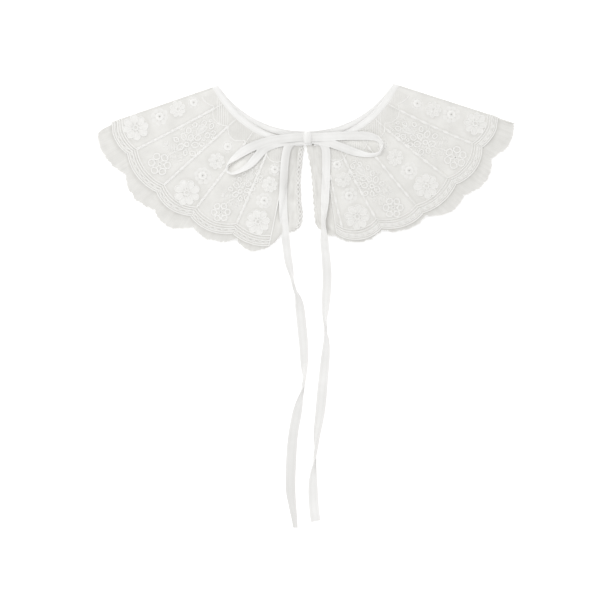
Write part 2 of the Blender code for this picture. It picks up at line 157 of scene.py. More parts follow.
UNDER_TURN, LACE_TURN, STACK_MIDDLE, STACK_TOP = 0.9, 2.25, 2.75, 5.5
CORD_HEIGHT, DROP, DROP_RUN, EDGE_DROP_RUN, DROP_CLEAR = 0.6, 1.35, 7.0, 12.0, 0.6
FRONT, BACK = -90.0, 90.0
Fold = namedtuple("Fold", "angle half_width start crest end height")
FOLDS = table(Fold, {
    -1: [
        (16, 6, 97, 138, 190, 2.8), (29.5, 6.5, 97, 132, 186, 3.4), (44, 8, 103, 160, 222, 2),
        (56.5, 6, 115, 175, 226, 1.4),
    ],
    1: [
        (15.5, 5.5, 97, 136, 188, 2.6), (28, 7, 97, 128, 184, 3.2), (43, 8, 103, 166, 222, 2.2),
        (56, 6, 118, 180, 226, 1.2),
    ],
})
LIFT_START, LIFT_RUN, FOLD_MARGIN, FOLD_STEPS = 8.0, 24.0, 2.8, 10
Line = namedtuple("Line", "neck_angle hem_angle shift bend")


def blend(start, end, share):
    return start + (end - start) * share


def spread(start, end, count):
    """Evenly spread values from start to end, one more than the count of steps."""
    return [blend(start, end, i / count) for i in range(count + 1)]


def every(start, end, step):
    """Values from start up to end, one step apart."""
    return [start + step * i for i in range(int((end - start) / step) + 1)]


def smooth(share):
    share = min(max(share, 0.0), 1.0)
    return share * share * (3 - 2 * share)


def from_table(rows, at):
    """A value at a place in a table of places and values, in a straight line between two rows."""
    for (near, start), (far, end) in zip(rows, rows[1:]):
        if at < far:
            return blend(start, end, max((at - near) / (far - near), 0.0))
    return rows[-1][1]


def dip(distance, width):
    """1 at no distance, which falls softly to 0 at about twice the width."""
    return exp(-(distance / width) ** 2)


def waver(*place):
    """A smooth uneven value between -1 and 1 that three numbers choose."""
    return noise.noise(Vector(place))


def scallop(share):
    return sin(pi * min(max(share, 0.0), 1.0)) ** SCALLOP_POWER


def neckline(side, bend, angle):
    """Radius of the binding's free edge, on the front or on the higher back."""
    centre, power = (FRONT_NECK, FRONT_NECK_CURVE) if bend <= 0 else (BACK_NECK, BACK_NECK_CURVE)
    return blend(centre, SHOULDER_NECK, min(angle / SHOULDER[side], 1.0) ** power)


def line_angle(line, radius):
    """Angle at a radius of anything that has an angle at the neck and one at the hem: a line or a gore."""
    return blend(line.neck_angle, line.hem_angle, (radius - NECK_END) / (HEM_END - NECK_END))


def straight(angle, bend):
    return Line(angle, angle, 0.0, bend)


def along_gore(gore, shift=0.0):
    return Line(gore.neck_angle, gore.hem_angle, shift, FRONT)


def clear_of_shoulder(side, angle, radius):
    """0 at the shoulder fold, where all layers lie flat, and 1 well away from it."""
    return smooth((radius * radians(SHOULDER[side] - angle) - LIFT_START) / LIFT_RUN)


def fold_height(side, angle, radius):
    """Height of the front's soft folds, as in the solid."""
    height = 0.0
    for fold in FOLDS[side]:
        off = (angle - fold.angle) / fold.half_width
        if abs(off) < 1.0:
            up = smooth((radius - fold.start) / (fold.crest - fold.start))
            down = 1 - smooth((radius - fold.crest) / (fold.end - fold.crest))
            height += fold.height * (0.5 + 0.5 * cos(pi * off)) * up * down
    return height * clear_of_shoulder(side, angle, radius)


# %% [markdown]
# ## Small creases
# Cloth that was folded and carried keeps small, uneven creases. Each one here is listed as a soft ridge or
# trough from one point to another, and both layers share it, so the net never sinks into the organza.

# %% Small creases
Crease = namedtuple("Crease", "x0 y0 x1 y1 width height")
CREASES = table(Crease, {
    -1: [
        (-14, 20, -20, -34, 4, -0.9), (-24, 16, -30, -60, 5, 0.5), (-33, 20, -42, -8, 2.2, -0.8),
        (-38, 17, -48, -6, 2.2, 0.6), (-28, 16, -34, -8, 2.2, 0.5), (-52, 24, -70, -20, 5, -0.6),
        (-66, 10, -96, -34, 6, 0.5), (-86, 34, -128, 10, 5.5, -0.5), (-100, 20, -150, -12, 6, 0.4),
        (-120, 48, -176, 26, 5, -0.4),
    ],
    1: [
        (12, 22, 14, -30, 4.5, -0.8), (24, 18, 34, -50, 5, 0.5), (44, 20, 62, -30, 6, -0.6),
        (64, 24, 98, -24, 6, 0.5), (84, 36, 132, 6, 5.5, -0.5), (104, 52, 160, 28, 5, -0.4),
    ],
})
RIPPLE_SIZE, RIPPLE_HEIGHT, RIPPLE_RUN = 19.0, 0.42, 12.0
CREASE_SWAY, CREASE_BENDS, CREASE_ENDS = 1.5, 5.0, 0.7


def plan(side, angle, radius):
    return side * radius * sin(radians(angle)), APEX_Y - radius * cos(radians(angle))


def polar(x, y):
    return degrees(atan2(abs(x), APEX_Y - y)), hypot(x, APEX_Y - y)


def crease_height(crease, x, y):
    run_x, run_y = crease.x1 - crease.x0, crease.y1 - crease.y0
    length = hypot(run_x, run_y)
    along = ((x - crease.x0) * run_x + (y - crease.y0) * run_y) / length ** 2
    if not 0.0 < along < 1.0:
        return 0.0
    across = ((x - crease.x0) * run_y - (y - crease.y0) * run_x) / length
    across += CREASE_SWAY * sin(CREASE_BENDS * along + crease.x0)
    return crease.height * dip(across, crease.width) * sin(pi * along) ** CREASE_ENDS


def rise(side, angle, radius):
    """Height of both layers over the flat stack: the large folds, the small creases and a faint ripple."""
    height = fold_height(side, angle, radius)
    x, y = plan(side, angle, radius)
    small = sum(crease_height(crease, x, y) for crease in CREASES[side])
    small += RIPPLE_HEIGHT * waver(x / RIPPLE_SIZE, y / RIPPLE_SIZE, 3.0 * side)
    inward = smooth((radius - neckline(side, FRONT, angle) - BINDING_WIDTH) / RIPPLE_RUN)
    return height + small * inward * clear_of_shoulder(side, angle, radius)


# %% [markdown]
# ## Layers
# Net and organza follow the same plan with other numbers. A line runs from neck to hem, and lines follow
# one another from the front edge, round the half circle of the shoulder fold, to the edge at the centre
# back. This makes a grid that bends as one piece of cloth, with no seam at the fold.

# %% Layers
class Layer:
    """One layer of one side: the cut of its front, and how it turns round the shoulder to the back."""

    def __init__(self, side, gores, turn, back_edge, front_edge=None):
        self.side, self.turn, self.back_edge = side, turn, back_edge
        self.gores = [front_edge] + gores if front_edge else gores

    def sector(self, angle):
        """The gore before an angle on the front, the next gore's notch, and the share of the way to it."""
        for near, far in zip(self.gores, self.gores[1:]):
            if angle <= far.hem_angle:
                return near, far.notch, (angle - near.hem_angle) / (far.hem_angle - near.hem_angle)
        last, next_angle = self.gores[-1], 2 * SHOULDER[self.side] - BACK_FIRST
        share = (angle - last.hem_angle) / (next_angle - last.hem_angle)
        return last, last.notch - BACK_INSET - BACK_SCALLOP, share

    def front_hem(self, angle):
        near, next_notch, share = self.sector(angle)
        return blend(near.notch, next_notch, share) + near.bulge * scallop(share)

    def back_hem(self, angle):
        if angle > BACK_FIRST:
            return self.front_hem(2 * SHOULDER[self.side] - angle)
        if angle > self.gores[-1].hem_angle:
            notches = self.gores[-1].notch
        else:
            near, next_notch, share = self.sector(angle)
            notches = blend(near.notch, next_notch, max(share, 0.0))
        share = ((BACK_FIRST - angle) / BACK_PITCH) % 1.0
        return notches - BACK_INSET - BACK_SCALLOP * (1 - scallop(share))

    def hem(self, line):
        return self.back_hem(line.hem_angle) if line.bend == BACK else self.front_hem(line.hem_angle)

    def neck(self, line):
        return neckline(self.side, line.bend, line.neck_angle) + BINDING_WIDTH + SEAM_GAP

    def front_lines(self, step):
        """Lines about a step apart at the hem, with one exactly on each gore."""
        lines, end = [], SHOULDER[self.side] - FOLD_MARGIN
        for near, far in zip(self.gores, self.gores[1:] + [Gore(end, end, 0, 0)]):
            count = max(2, ceil((far.hem_angle - near.hem_angle) * radians(near.notch) / step))
            necks = spread(near.neck_angle, far.neck_angle, count)[:-1]
            hems = spread(near.hem_angle, far.hem_angle, count)[:-1]
            lines += [Line(neck, hem, 0.0, FRONT) for neck, hem in zip(necks, hems)]
        return lines

    def fold_lines(self):
        """Lines that turn round the shoulder, from flat on the front to flat on the back."""
        fold, lines = SHOULDER[self.side], []
        for bend in spread(FRONT, BACK, FOLD_STEPS):
            lines.append(Line(fold, fold, self.turn * cos(radians(bend)) - LACE_TURN, bend))
        return lines

    def back_lines(self, step):
        count = ceil((BACK_FIRST - self.back_edge) * radians(self.gores[-1].notch) / step)
        return [straight(angle, BACK) for angle in spread(BACK_FIRST, self.back_edge, count)]

    def lines(self, front_step, back_step, near_fold=()):
        """All lines, with extra ones at some angles before the fold."""
        extra = [straight(SHOULDER[self.side] - before, FRONT) for before in near_fold]
        return self.front_lines(front_step) + extra + self.fold_lines() + self.back_lines(back_step)

    def edge_angle(self, radius):
        """Angle of the front edge at a radius."""
        return line_angle(self.gores[0], radius)

    def place(self, line, radius, off, height=0.0):
        """A point in millimetres, at a distance off the middle of the solid's wall."""
        outward, upward = cos(radians(line.bend)), -sin(radians(line.bend))
        angle = line_angle(line, radius) + degrees((line.shift + off * outward) / radius)
        x, y = plan(self.side, angle, radius)
        return Vector((x, y, STACK_MIDDLE + (self.turn + off) * upward + height))

    def cut(self, line, radius):
        """Where a point of a line lay on the flat cloth before it was folded."""
        angle = line_angle(line, radius)
        if line.bend == BACK:
            angle = 2 * SHOULDER[self.side] - angle
        if angle == SHOULDER[self.side]:
            angle += degrees(self.turn * radians(line.bend) / radius)
        return self.side * radius * sin(radians(angle)), -radius * cos(radians(angle))

    def cell(self, line, radius, top, low, height, tone):
        """Outer point, inner point and mark of the cloth at one place."""
        outer, inner = [self.place(line, radius, off, height) for off in (top, low)]
        return outer, inner, (*self.cut(line, radius), tone)


SIDES = {-1: "left", 1: "right"}
LACE = {s: Layer(s, LACE_FRONT[s], LACE_TURN, LACE_BACK_EDGE, LACE_EDGE[s]) for s in SIDES}
UNDER = {s: Layer(s, UNDER_FRONT[s], UNDER_TURN, UNDER_BACK_EDGE) for s in SIDES}


def under_drop(side, angle, radius, bend, edge_angle=LACE_BACK_EDGE):
    """How far the organza comes down past the hem and the edge of the net that lies on it."""
    lace_hem = LACE[side].back_hem(angle) if bend == BACK else LACE[side].front_hem(angle)
    past_hem = (radius - lace_hem - DROP_CLEAR) / DROP_RUN
    past_edge = (radius * radians(edge_angle - angle) - DROP_CLEAR) / EDGE_DROP_RUN
    return DROP * smooth(max(past_hem, past_edge))


for side, word in SIDES.items():
    print(word, "lace hem at 30 degrees", round(LACE[side].front_hem(30.0), 1), "mm")

# %% [markdown]
# ## Gathering points and faces
# Lace is thousands of small threads. Making each as an object of its own would be slow, so this helper
# gathers the points and faces of many shapes and turns them into one mesh. Each point also keeps its place
# along and across its thread, which the materials use to draw stitches that follow the thread, and a
# lightness, which holds the thread's own tone and also painted light and shade.

# %% A helper that gathers shapes into one mesh
SMOOTH_ANGLE, THREAD_SIDES = 50.0, 6
UP = Vector((0, 0, 1))


class Work:
    """Points in millimetres, faces, and each point's place in its thread or cloth."""

    def __init__(self, tone=1.0):
        self.points, self.faces, self.marks, self.tone = [], [], [], tone

    def rows(self, rows, marks):
        """Adds rows of points and returns their numbers."""
        numbers = []
        for row, row_marks in zip(rows, marks):
            first = len(self.points)
            self.points += row
            self.marks += [(along, across, lightness * self.tone) for along, across, lightness in row_marks]
            numbers.append(range(first, first + len(row)))
        return numbers

    def skin(self, numbers, capped=True):
        """Faces between rings of points, and one face over each end."""
        for a, b in zip(numbers, numbers[1:]):
            for i in range(len(a)):
                after = (i + 1) % len(a)
                self.faces.append((a[i], a[after], b[after], b[i]))
        if capped:
            self.faces.append(tuple(reversed(numbers[0])))
            self.faces.append(tuple(numbers[-1]))

    def wall(self, grid, gaps=frozenset()):
        """A closed wall from rows of outer point, inner point and mark, with real openings at the gaps."""
        marks = [[cell[2] for cell in row] for row in grid]
        top, low = [self.rows([[cell[k] for cell in row] for row in grid], marks) for k in (0, 1)]
        count, width = len(top) - 1, len(top[0]) - 1
        solid = [[(i, j) not in gaps for j in range(width)] for i in range(count)]
        for i in range(count):
            for j in range(width):
                if not solid[i][j]:
                    continue
                a, b, c, d = (i, j), (i, j + 1), (i + 1, j + 1), (i + 1, j)
                self.faces.append(tuple(top[m][n] for m, n in (a, b, c, d)))
                self.faces.append(tuple(low[m][n] for m, n in (d, c, b, a)))
                beside = ((i, j - 1, d, a), (i, j + 1, b, c), (i - 1, j, a, b), (i + 1, j, c, d))
                for m, n, p, q in beside:
                    if not (0 <= m < count and 0 <= n < width and solid[m][n]):
                        rim = (top[q[0]][q[1]], top[p[0]][p[1]], low[p[0]][p[1]], low[q[0]][q[1]])
                        self.faces.append(rim)

    def tube(self, path, thick, normals=None, flat=1.0, closed=False, lightness=1.0, taper=1.0):
        """A thread along a path of points, whose two ends may be thinner."""
        rows, marks, along, last = [], [], 0.0, len(path) - 1
        for i, point in enumerate(path):
            before = path[i - 1] if i or closed else path[0]
            after = path[(i + 1) % len(path)] if i < last or closed else path[-1]
            ahead = (after - before).normalized()
            beside = ahead.cross(normals[i] if normals else UP).normalized()
            upward = beside.cross(ahead)
            along += (point - path[i - 1]).length if i else 0.0
            radius = thick if closed or 0 < i < last else thick * taper
            row, row_marks = [], []
            for k in range(THREAD_SIDES):
                turn = 2 * pi * k / THREAD_SIDES
                row.append(point + (beside * cos(turn) + upward * (sin(turn) * flat)) * radius)
                row_marks.append((along, radius * turn, lightness))
            rows.append(row)
            marks.append(row_marks)
        if closed:
            along += (path[0] - path[-1]).length
            rows.append(list(rows[0]))
            marks.append([(along, around, lightness) for _, around, _ in marks[0]])
        self.skin(self.rows(rows, marks), capped=not closed)

    def piece(self, name, material, slot, stands_for=None):
        """Turns what was gathered into an object that rides on the collar."""
        mesh = bpy.data.meshes.new(name)
        mesh.from_pydata([point * MM for point in self.points], [], self.faces)
        marks = mesh.attributes.new("thread", "FLOAT_VECTOR", "POINT")
        marks.data.foreach_set("vector", [value for mark in self.marks for value in mark])
        shape = bmesh.new()
        shape.from_mesh(mesh)
        bmesh.ops.recalc_face_normals(shape, faces=shape.faces)
        shape.to_mesh(mesh)
        shape.free()
        mesh.shade_smooth()
        mesh.set_sharp_from_angle(angle=radians(SMOOTH_ANGLE))
        mesh.materials.append(material)
        thing = bpy.data.objects.new(name, mesh)
        bpy.context.scene.collection.objects.link(thing)
        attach(thing, "root")
        if stands_for:
            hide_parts(stands_for)
        print(name, len(mesh.polygons), "faces")
        return thing


# %% [markdown]
# ## Effects that several materials share
# Each effect is a node group with named inputs, so one weave can serve net, organza and ribbon with other
# numbers. The groups read the place of a point in its own thread, so the pattern follows every bend of the
# cloth.

# %% Node helpers
def put(tree, kind, inputs=(), **settings):
    """Adds a node, sets it up, and fills its inputs with numbers or with other nodes' outputs."""
    node = tree.nodes.new(kind)
    for setting, value in settings.items():
        setattr(node, setting, value)
    for socket, value in dict(inputs).items():
        if isinstance(value, bpy.types.NodeSocket):
            tree.links.new(value, node.inputs[socket])
        else:
            node.inputs[socket].default_value = value
    return node


def calc(tree, operation, *values):
    return put(tree, "ShaderNodeMath", enumerate(values), operation=operation).outputs[0]


def uneven(tree, place, scale, detail):
    """Smooth noise over the cloth."""
    return put(tree, "ShaderNodeTexNoise", {"Vector": place, "Scale": scale, "Detail": detail}).outputs[0]


def new_group(name, inputs, outputs=("Height", "Gap")):
    """An empty shader node group, with its input and output nodes."""
    group = bpy.data.node_groups.new(name, "ShaderNodeTree")
    group.interface.new_socket(name="Place", in_out="INPUT", socket_type="NodeSocketVector")
    for title, value in inputs.items():
        socket = group.interface.new_socket(name=title, in_out="INPUT", socket_type="NodeSocketFloat")
        socket.default_value = value
    for title in outputs:
        group.interface.new_socket(name=title, in_out="OUTPUT", socket_type="NodeSocketFloat")
    return group, group.nodes.new("NodeGroupInput").outputs, group.nodes.new("NodeGroupOutput").inputs


def give(group, height, result):
    """Hands on a pattern's height, and its gaps, which are where it is low."""
    group.links.new(height, result["Height"])
    group.links.new(calc(group, "SUBTRACT", 1.0, height), result["Gap"])


# %% Satin stitches: fine parallel threads across a cord or a petal
satin_stitches, given, result = new_group("satin stitches", {"Pitch": 0.4, "Slant": 0.3, "Unevenness": 0.3})
parts = put(satin_stitches, "ShaderNodeSeparateXYZ", {"Vector": given["Place"]}).outputs
wander = uneven(satin_stitches, given["Place"], 0.7, 1.0)
slanted = calc(satin_stitches, "MULTIPLY_ADD", parts["Y"], given["Slant"], parts["X"])
slanted = calc(satin_stitches, "MULTIPLY_ADD", wander, given["Unevenness"], slanted)
turns = calc(satin_stitches, "MULTIPLY", calc(satin_stitches, "DIVIDE", slanted, given["Pitch"]), pi)
ridges = calc(satin_stitches, "ABSOLUTE", calc(satin_stitches, "SINE", turns))
give(satin_stitches, calc(satin_stitches, "POWER", ridges, 0.6), result)

# %% Plain weave: warp over weft, with threads that thicken here and there
plain_weave, given, result = new_group("plain weave", {"Pitch": 0.6, "Slub": 0.3})
parts = put(plain_weave, "ShaderNodeSeparateXYZ", {"Vector": given["Place"]}).outputs
wander = uneven(plain_weave, given["Place"], 0.35, 2.0)
waves = []
for axis in "XY":
    shifted = calc(plain_weave, "MULTIPLY_ADD", wander, given["Slub"], parts[axis])
    turns = calc(plain_weave, "MULTIPLY", calc(plain_weave, "DIVIDE", shifted, given["Pitch"]), 2 * pi)
    waves.append(calc(plain_weave, "SINE", turns))
crossing = calc(plain_weave, "MAXIMUM", *waves)
give(plain_weave, calc(plain_weave, "MULTIPLY_ADD", crossing, 0.5, 0.5), result)

# %% Net ground: small round meshes between fine threads
net_ground, given, result = new_group("net ground", {"Mesh": 0.9})
cells = put(
    net_ground, "ShaderNodeTexVoronoi",
    {"Vector": given["Place"], "Scale": calc(net_ground, "DIVIDE", 1.0, given["Mesh"]), "Randomness": 0.25},
    voronoi_dimensions="2D", feature="DISTANCE_TO_EDGE",
).outputs["Distance"]
strands = put(
    net_ground, "ShaderNodeMapRange",
    {"Value": cells, "From Min": 0.06, "From Max": 0.26, "To Min": 1.0, "To Max": 0.0},
    interpolation_type="SMOOTHSTEP",
).outputs[0]
give(net_ground, strands, result)

# %% Soft mottling: cloth is never one even tone
mottling, given, result = new_group("soft mottling", {"Patch": 14.0}, ["Tone"])
patches = uneven(mottling, given["Place"], calc(mottling, "DIVIDE", 1.0, given["Patch"]), 3.0)
tone = put(mottling, "ShaderNodeMapRange", {"Value": patches, "From Min": 0.3, "From Max": 0.7}).outputs[0]
mottling.links.new(tone, result["Tone"])
print("node groups:", [group.name for group in bpy.data.node_groups])

# %% [markdown]
# ## The four finishes
# All of them are bleached white, so their difference lies in thread and sheen: the net is dull and slightly
# grey, the organza thinner and greyer, the embroidery is padded cotton with a soft gloss, and the ribbon is
# the brightest.

# %% A helper that builds one cloth finish
TONE_SHARE, GAP_SHARE, GAP_ROUGHNESS, RELIEF_STRENGTH, CLOTH_SPECULAR = 0.22, 0.22, 0.1, 0.6, 0.3


def cloth(name, pattern, pattern_values, dark, light, roughness, sheen, relief, patch=14.0):
    """A cloth, dark or light by each point's lightness (own tone and painted light and shade), with a
    little mottling.
    """
    material = bpy.data.materials.new(name)
    material.use_nodes = True
    tree = material.node_tree
    shader = tree.nodes["Principled BSDF"]
    mark = put(tree, "ShaderNodeAttribute", attribute_name="thread", attribute_type="GEOMETRY")
    place = mark.outputs["Vector"]
    lightness = put(tree, "ShaderNodeSeparateXYZ", {"Vector": place}).outputs["Z"]
    threads = put(tree, "ShaderNodeGroup", node_tree=pattern)
    tree.links.new(place, threads.inputs["Place"])
    fill(threads, pattern_values)
    tones = put(tree, "ShaderNodeGroup", node_tree=mottling)
    tree.links.new(place, tones.inputs["Place"])
    fill(tones, {"Patch": patch})
    even = calc(tree, "MULTIPLY_ADD", tones.outputs["Tone"], TONE_SHARE, 1 - TONE_SHARE)
    even = calc(tree, "MULTIPLY_ADD", threads.outputs["Gap"], -GAP_SHARE, even)
    colour = put(tree, "ShaderNodeMix", data_type="RGBA", clamp_factor=True)
    tree.links.new(calc(tree, "MULTIPLY", lightness, even), colour.inputs["Factor"])
    fill(colour, {"A": (*dark, 1.0), "B": (*light, 1.0)})
    tree.links.new(colour.outputs["Result"], shader.inputs["Base Color"])
    rough = calc(tree, "MULTIPLY_ADD", threads.outputs["Gap"], GAP_ROUGHNESS, roughness)
    tree.links.new(rough, shader.inputs["Roughness"])
    bump = put(tree, "ShaderNodeBump", {
        "Height": threads.outputs["Height"], "Strength": RELIEF_STRENGTH, "Distance": relief * MM,
    })
    tree.links.new(bump.outputs["Normal"], shader.inputs["Normal"])
    fill(shader, {"Sheen Weight": sheen, "Specular IOR Level": CLOTH_SPECULAR})
    return material


# %% The four finishes
GREY, WARM_GREY, RIBBON_GREY = (0.55, 0.54, 0.51), (0.70, 0.69, 0.66), (0.66, 0.655, 0.635)
net_cloth = cloth(
    "net_ground_cotton", net_ground, {"Mesh": 0.9},
    GREY, (0.94, 0.932, 0.905), roughness=0.85, sheen=0.10, relief=0.10,
)
organza_cloth = cloth(
    "sheer_organza", plain_weave, {"Pitch": 0.5, "Slub": 0.5},
    GREY, (0.885, 0.877, 0.85), roughness=0.65, sheen=0.15, relief=0.06, patch=9.0,
)
embroidery_thread = cloth(
    "embroidery_cotton", satin_stitches, {"Pitch": 0.42, "Slant": 0.3, "Unevenness": 0.35},
    WARM_GREY, (0.962, 0.956, 0.938), roughness=0.55, sheen=0.2, relief=0.12, patch=5.0,
)
ribbon_cloth = cloth(
    "grosgrain_ribbon", plain_weave, {"Pitch": 0.55, "Slub": 0.15},
    RIBBON_GREY, (0.965, 0.96, 0.948), roughness=0.5, sheen=0.2, relief=0.08, patch=22.0,
)
print("finishes:", [material.name for material in bpy.data.materials])

# %% [markdown]
# ## Ribbon tails
# The tie is one flat ribbon, about 8 mm wide. Its route gives the place, the least height of the lower
# side, and the turn: 0 lies flat and 90 stands on edge, which is how a twist looks. The ribbon rests on
# what is under it and comes down gently past an edge, because a ribbon is too stiff to drop at once.

# %% Routes of the ribbon
RIBBON_WIDTH, RIBBON_WALL, RIBBON_CLEAR, FLOOR_CLEAR = 8.0, 1.0, 0.4, 0.2
RIBBON_STEP, RIBBON_SLOPE = 5.0, 0.4
RIBBON_WIDTHS = {
    "loop_left": [
        (0, 8), (32, 8.2), (46, 9.2), (66, 9), (78, 7.4), (90, 5), (108, 5), (126, 8.2), (150, 9.6),
        (400, 8.6),
    ],
    "loop_right": [(0, 8.4), (30, 8.6), (62, 8.8), (80, 5.4), (98, 5.4), (114, 8), (400, 8.4)],
    "tail_left": [(0, 8), (120, 8.4), (190, 9.4), (260, 9), (320, 10.2), (360, 9.8), (402, 8.6)],
    "tail_right": [(0, 8), (110, 8.6), (140, 9.2), (200, 9), (260, 9.8), (330, 9.6), (392, 9.8)],
}
Spot = namedtuple("Spot", "x y low turn")
ROUTES = {
    "loop_left": [
        (1, 31.6, 9, 0), (-3, 31.4, 9, 0), (-17, 30.2, 9.4, 0), (-33, 28.2, 8.3, -3),
        (-49, 23.2, 6.8, 0), (-61, 17.2, 6.4, 12), (-71.5, 9.2, 6.4, 42), (-77.1, 3, 6.4, 84),
        (-77.6, -2.4, 6.4, 114), (-73.2, -5, 6.4, 122), (-64.8, -2.6, 6.4, 138), (-55.6, 3.4, 6.4, 164),
        (-47.8, 12.2, 6.4, 180), (-40.4, 20.2, 6.4, 186), (-31, 24.8, 6.6, 190), (-19.6, 27.2, 7.4, 190),
        (-3, 28.6, 7.4, 184), (1, 28.8, 7.4, 180),
    ],
    "loop_right": [
        (3.4, 31, 9, 0), (7.4, 31, 9, 0), (22, 31.6, 8.8, 0), (38, 32.6, 7.2, 3),
        (52, 32.6, 6.4, 14), (63, 32.2, 6.4, 34), (72.6, 29.2, 6.4, 54), (76.8, 22.4, 6.4, 74),
        (74.2, 15.4, 6.4, 108), (64.6, 13, 6.4, 142), (51, 15.8, 6.4, 164), (38, 20.6, 6.4, 172),
        (24, 25.4, 7.6, 176), (7.4, 28.6, 7.3, 178), (3.4, 28.8, 7.3, 180),
    ],
    "tail_left": [
        (-3, 28.6, 5.9, 0), (-10.5, 27.4, 5.9, 0), (-16.6, 22.6, 5.9, 0), (-19.4, 14, 0, 0),
        (-21, 0, 0, -4), (-22.2, -31, 0, -4), (-21.4, -52, 0, 0), (-19.4, -72, 0, 4),
        (-16.8, -93, 0, 30), (-13.4, -106, 0, 60), (-11.2, -117, 0, 90), (-7, -129, 0, 130),
        (-5, -143, 0, 172), (-3.2, -160, 0, 180), (-1.6, -178, 0, 192), (-1.2, -196, 0, 222),
        (-2.2, -214, 0, 266), (-5.6, -231, 0, 312), (-9.2, -249, 0, 352), (-12.4, -268, 0, 360),
        (-14.2, -292, 0, 366), (-14.8, -318, 0, 376), (-13.2, -334, 0, 396), (-10.6, -350, 0, 414),
        (-9.4, -358.6, 0, 420),
    ],
    "tail_right": [
        (7.4, 28.8, 5.9, 0), (14, 28, 5.9, 0), (19.4, 22, 5.9, 0), (21, 12, 0, 0),
        (20.6, -8, 0, 4), (19.8, -30, 0, 18), (18.6, -52, 0, 62), (18.4, -62, 0, 50),
        (19.2, -76, 0, 20), (20.8, -90, 0, 6), (21.8, -110, 0, 0), (20.8, -130, 0, 20),
        (20, -147, 0, 56), (20.8, -160, 0, 92), (21.2, -174, 0, 134), (19.6, -194, 0, 168),
        (17.4, -216, 0, 184), (14.8, -243, 0, 196), (11.6, -264, 0, 226), (9.2, -287, 0, 268),
        (7.8, -308, 0, 322), (7.8, -324, 0, 352), (9, -342, 0, 360), (10.4, -352.4, 0, 360),
    ],
}
# Painted light and shade along each ribbon: place along it, then the lightness at its two edges.
RIBBON_LIGHT_AND_SHADE = {
    "loop_left": [
        (0, 0.6, 0.6), (16, 0.8, 0.8), (24, 0.7, 0.7), (52, 0.68, 0.68), (64, 0.85, 0.85), (74, 0.95, 0.95),
        (82, 1.2, 1.2), (104, 1.2, 1.2), (122, 1, 1), (134, 0.6, 0.85), (142, 0.55, 0.75), (150, 0.8, 0.9),
        (158, 0.8, 0.9), (166, 0.6, 0.7), (174, 0.8, 0.8), (184, 0.8, 0.8),
    ],
    "loop_right": [
        (0, 0.65, 0.65), (16, 0.95, 0.95), (26, 0.9, 0.9), (35, 0.7, 0.7), (46, 0.7, 0.7), (56, 0.88, 0.88),
        (72, 1.1, 1.1), (100, 1.2, 1.2), (108, 0.95, 0.95), (114, 0.72, 0.72), (128, 0.72, 0.72),
        (140, 0.9, 0.9), (160, 0.75, 0.75),
    ],
    "tail_left": [
        (0, 0.6, 0.5), (16, 0.95, 0.5), (58, 0.95, 0.5), (68, 1.05, 0.9), (84, 1.05, 1), (104, 1, 0.95),
        (130, 0.8, 0.75), (150, 0.8, 0.86), (258, 0.8, 0.8), (272, 1, 1), (290, 0.84, 0.8),
        (300, 0.8, 0.76), (340, 0.75, 0.65), (360, 0.65, 0.55), (400, 0.6, 0.5),
    ],
    "tail_right": [
        (0, 0.6, 0.6), (20, 0.75, 0.75), (30, 0.72, 0.75), (46, 0.95, 1), (90, 1, 0.9), (130, 0.82, 0.86),
        (196, 0.82, 0.86), (212, 1, 1), (236, 1, 1), (260, 0.8, 0.84), (290, 0.75, 0.75), (320, 0.68, 0.68),
        (345, 1, 1), (400, 1, 1),
    ],
}


def top_height(x, y):
    """Height of what lies under a plan point: lace, organza, binding, back band or the floor."""
    side = -1 if x < 0 else 1
    angle, radius = polar(x, y)
    neck = neckline(side, FRONT, angle)
    if radius < neck:
        return STACK_MIDDLE if radius > neckline(side, BACK, angle) else 0
    if radius < neck + BINDING_WIDTH:
        return STACK_TOP
    for layer, top in ((LACE[side], STACK_TOP + CORD_HEIGHT), (UNDER[side], STACK_TOP - DROP)):
        past_edge = radius * radians(angle - layer.edge_angle(radius))
        if past_edge > -RIBBON_STEP and radius < layer.front_hem(angle) + RIBBON_STEP:
            drop = 0 if layer is LACE[side] else under_drop(side, angle, radius, FRONT)
            return top + fold_height(side, angle, radius) - drop
    return 0


def pass_through(before, start, end, after, t):
    """Value at a share t of the way from start to end, on a smooth curve through all four."""
    slope, bow = end - before, 2 * before - 5 * start + 4 * end - after
    twist = 3 * start - before - 3 * end + after
    return 0.5 * (2 * start + slope * t + bow * t ** 2 + twist * t ** 3)


def through(route, step):
    """Places about a step apart on a smooth curve through a route's places."""
    places = [route[0]] + route + [route[-1]]
    spots = []
    for before, start, end, after in zip(places, places[1:], places[2:], places[3:]):
        count = max(1, round(hypot(end[0] - start[0], end[1] - start[1]) / step))
        for i in range(count):
            spots.append([pass_through(*values, i / count) for values in zip(before, start, end, after)])
    return spots + [list(route[-1])]


def settled(route):
    """The ribbon's middle line as x, y, height and turn, resting on what lies under it."""
    spots = [Spot(*spot) for spot in through(route, RIBBON_STEP)]
    steps = [Vector((b.x - a.x, b.y - a.y, 0)) for a, b in zip(spots, spots[1:])]
    aheads = [(a + b).normalized() for a, b in zip(steps[:1] + steps, steps + steps[-1:])]
    along = [0.0]
    for step in steps:
        along.append(along[-1] + step.length)
    rests = []
    for spot, ahead in zip(spots, aheads):
        reach = abs(cos(radians(spot.turn))) * RIBBON_WIDTH / 2
        across = [(spot.x - ahead.y * part, spot.y + ahead.x * part) for part in (-reach, 0, reach)]
        below = max(top_height(x, y) for x, y in across)
        rests.append(max(spot.low, below + (RIBBON_CLEAR if below else FLOOR_CLEAR)))
    middle = []
    for spot, place_on in zip(spots, along):
        low = max(rest - RIBBON_SLOPE * abs(other - place_on) for rest, other in zip(rests, along))
        flat, upright = cos(radians(spot.turn)), sin(radians(spot.turn))
        half = (abs(upright) * RIBBON_WIDTH + abs(flat) * RIBBON_WALL) / 2
        middle.append((spot.x, spot.y, low + half, spot.turn))
    return middle


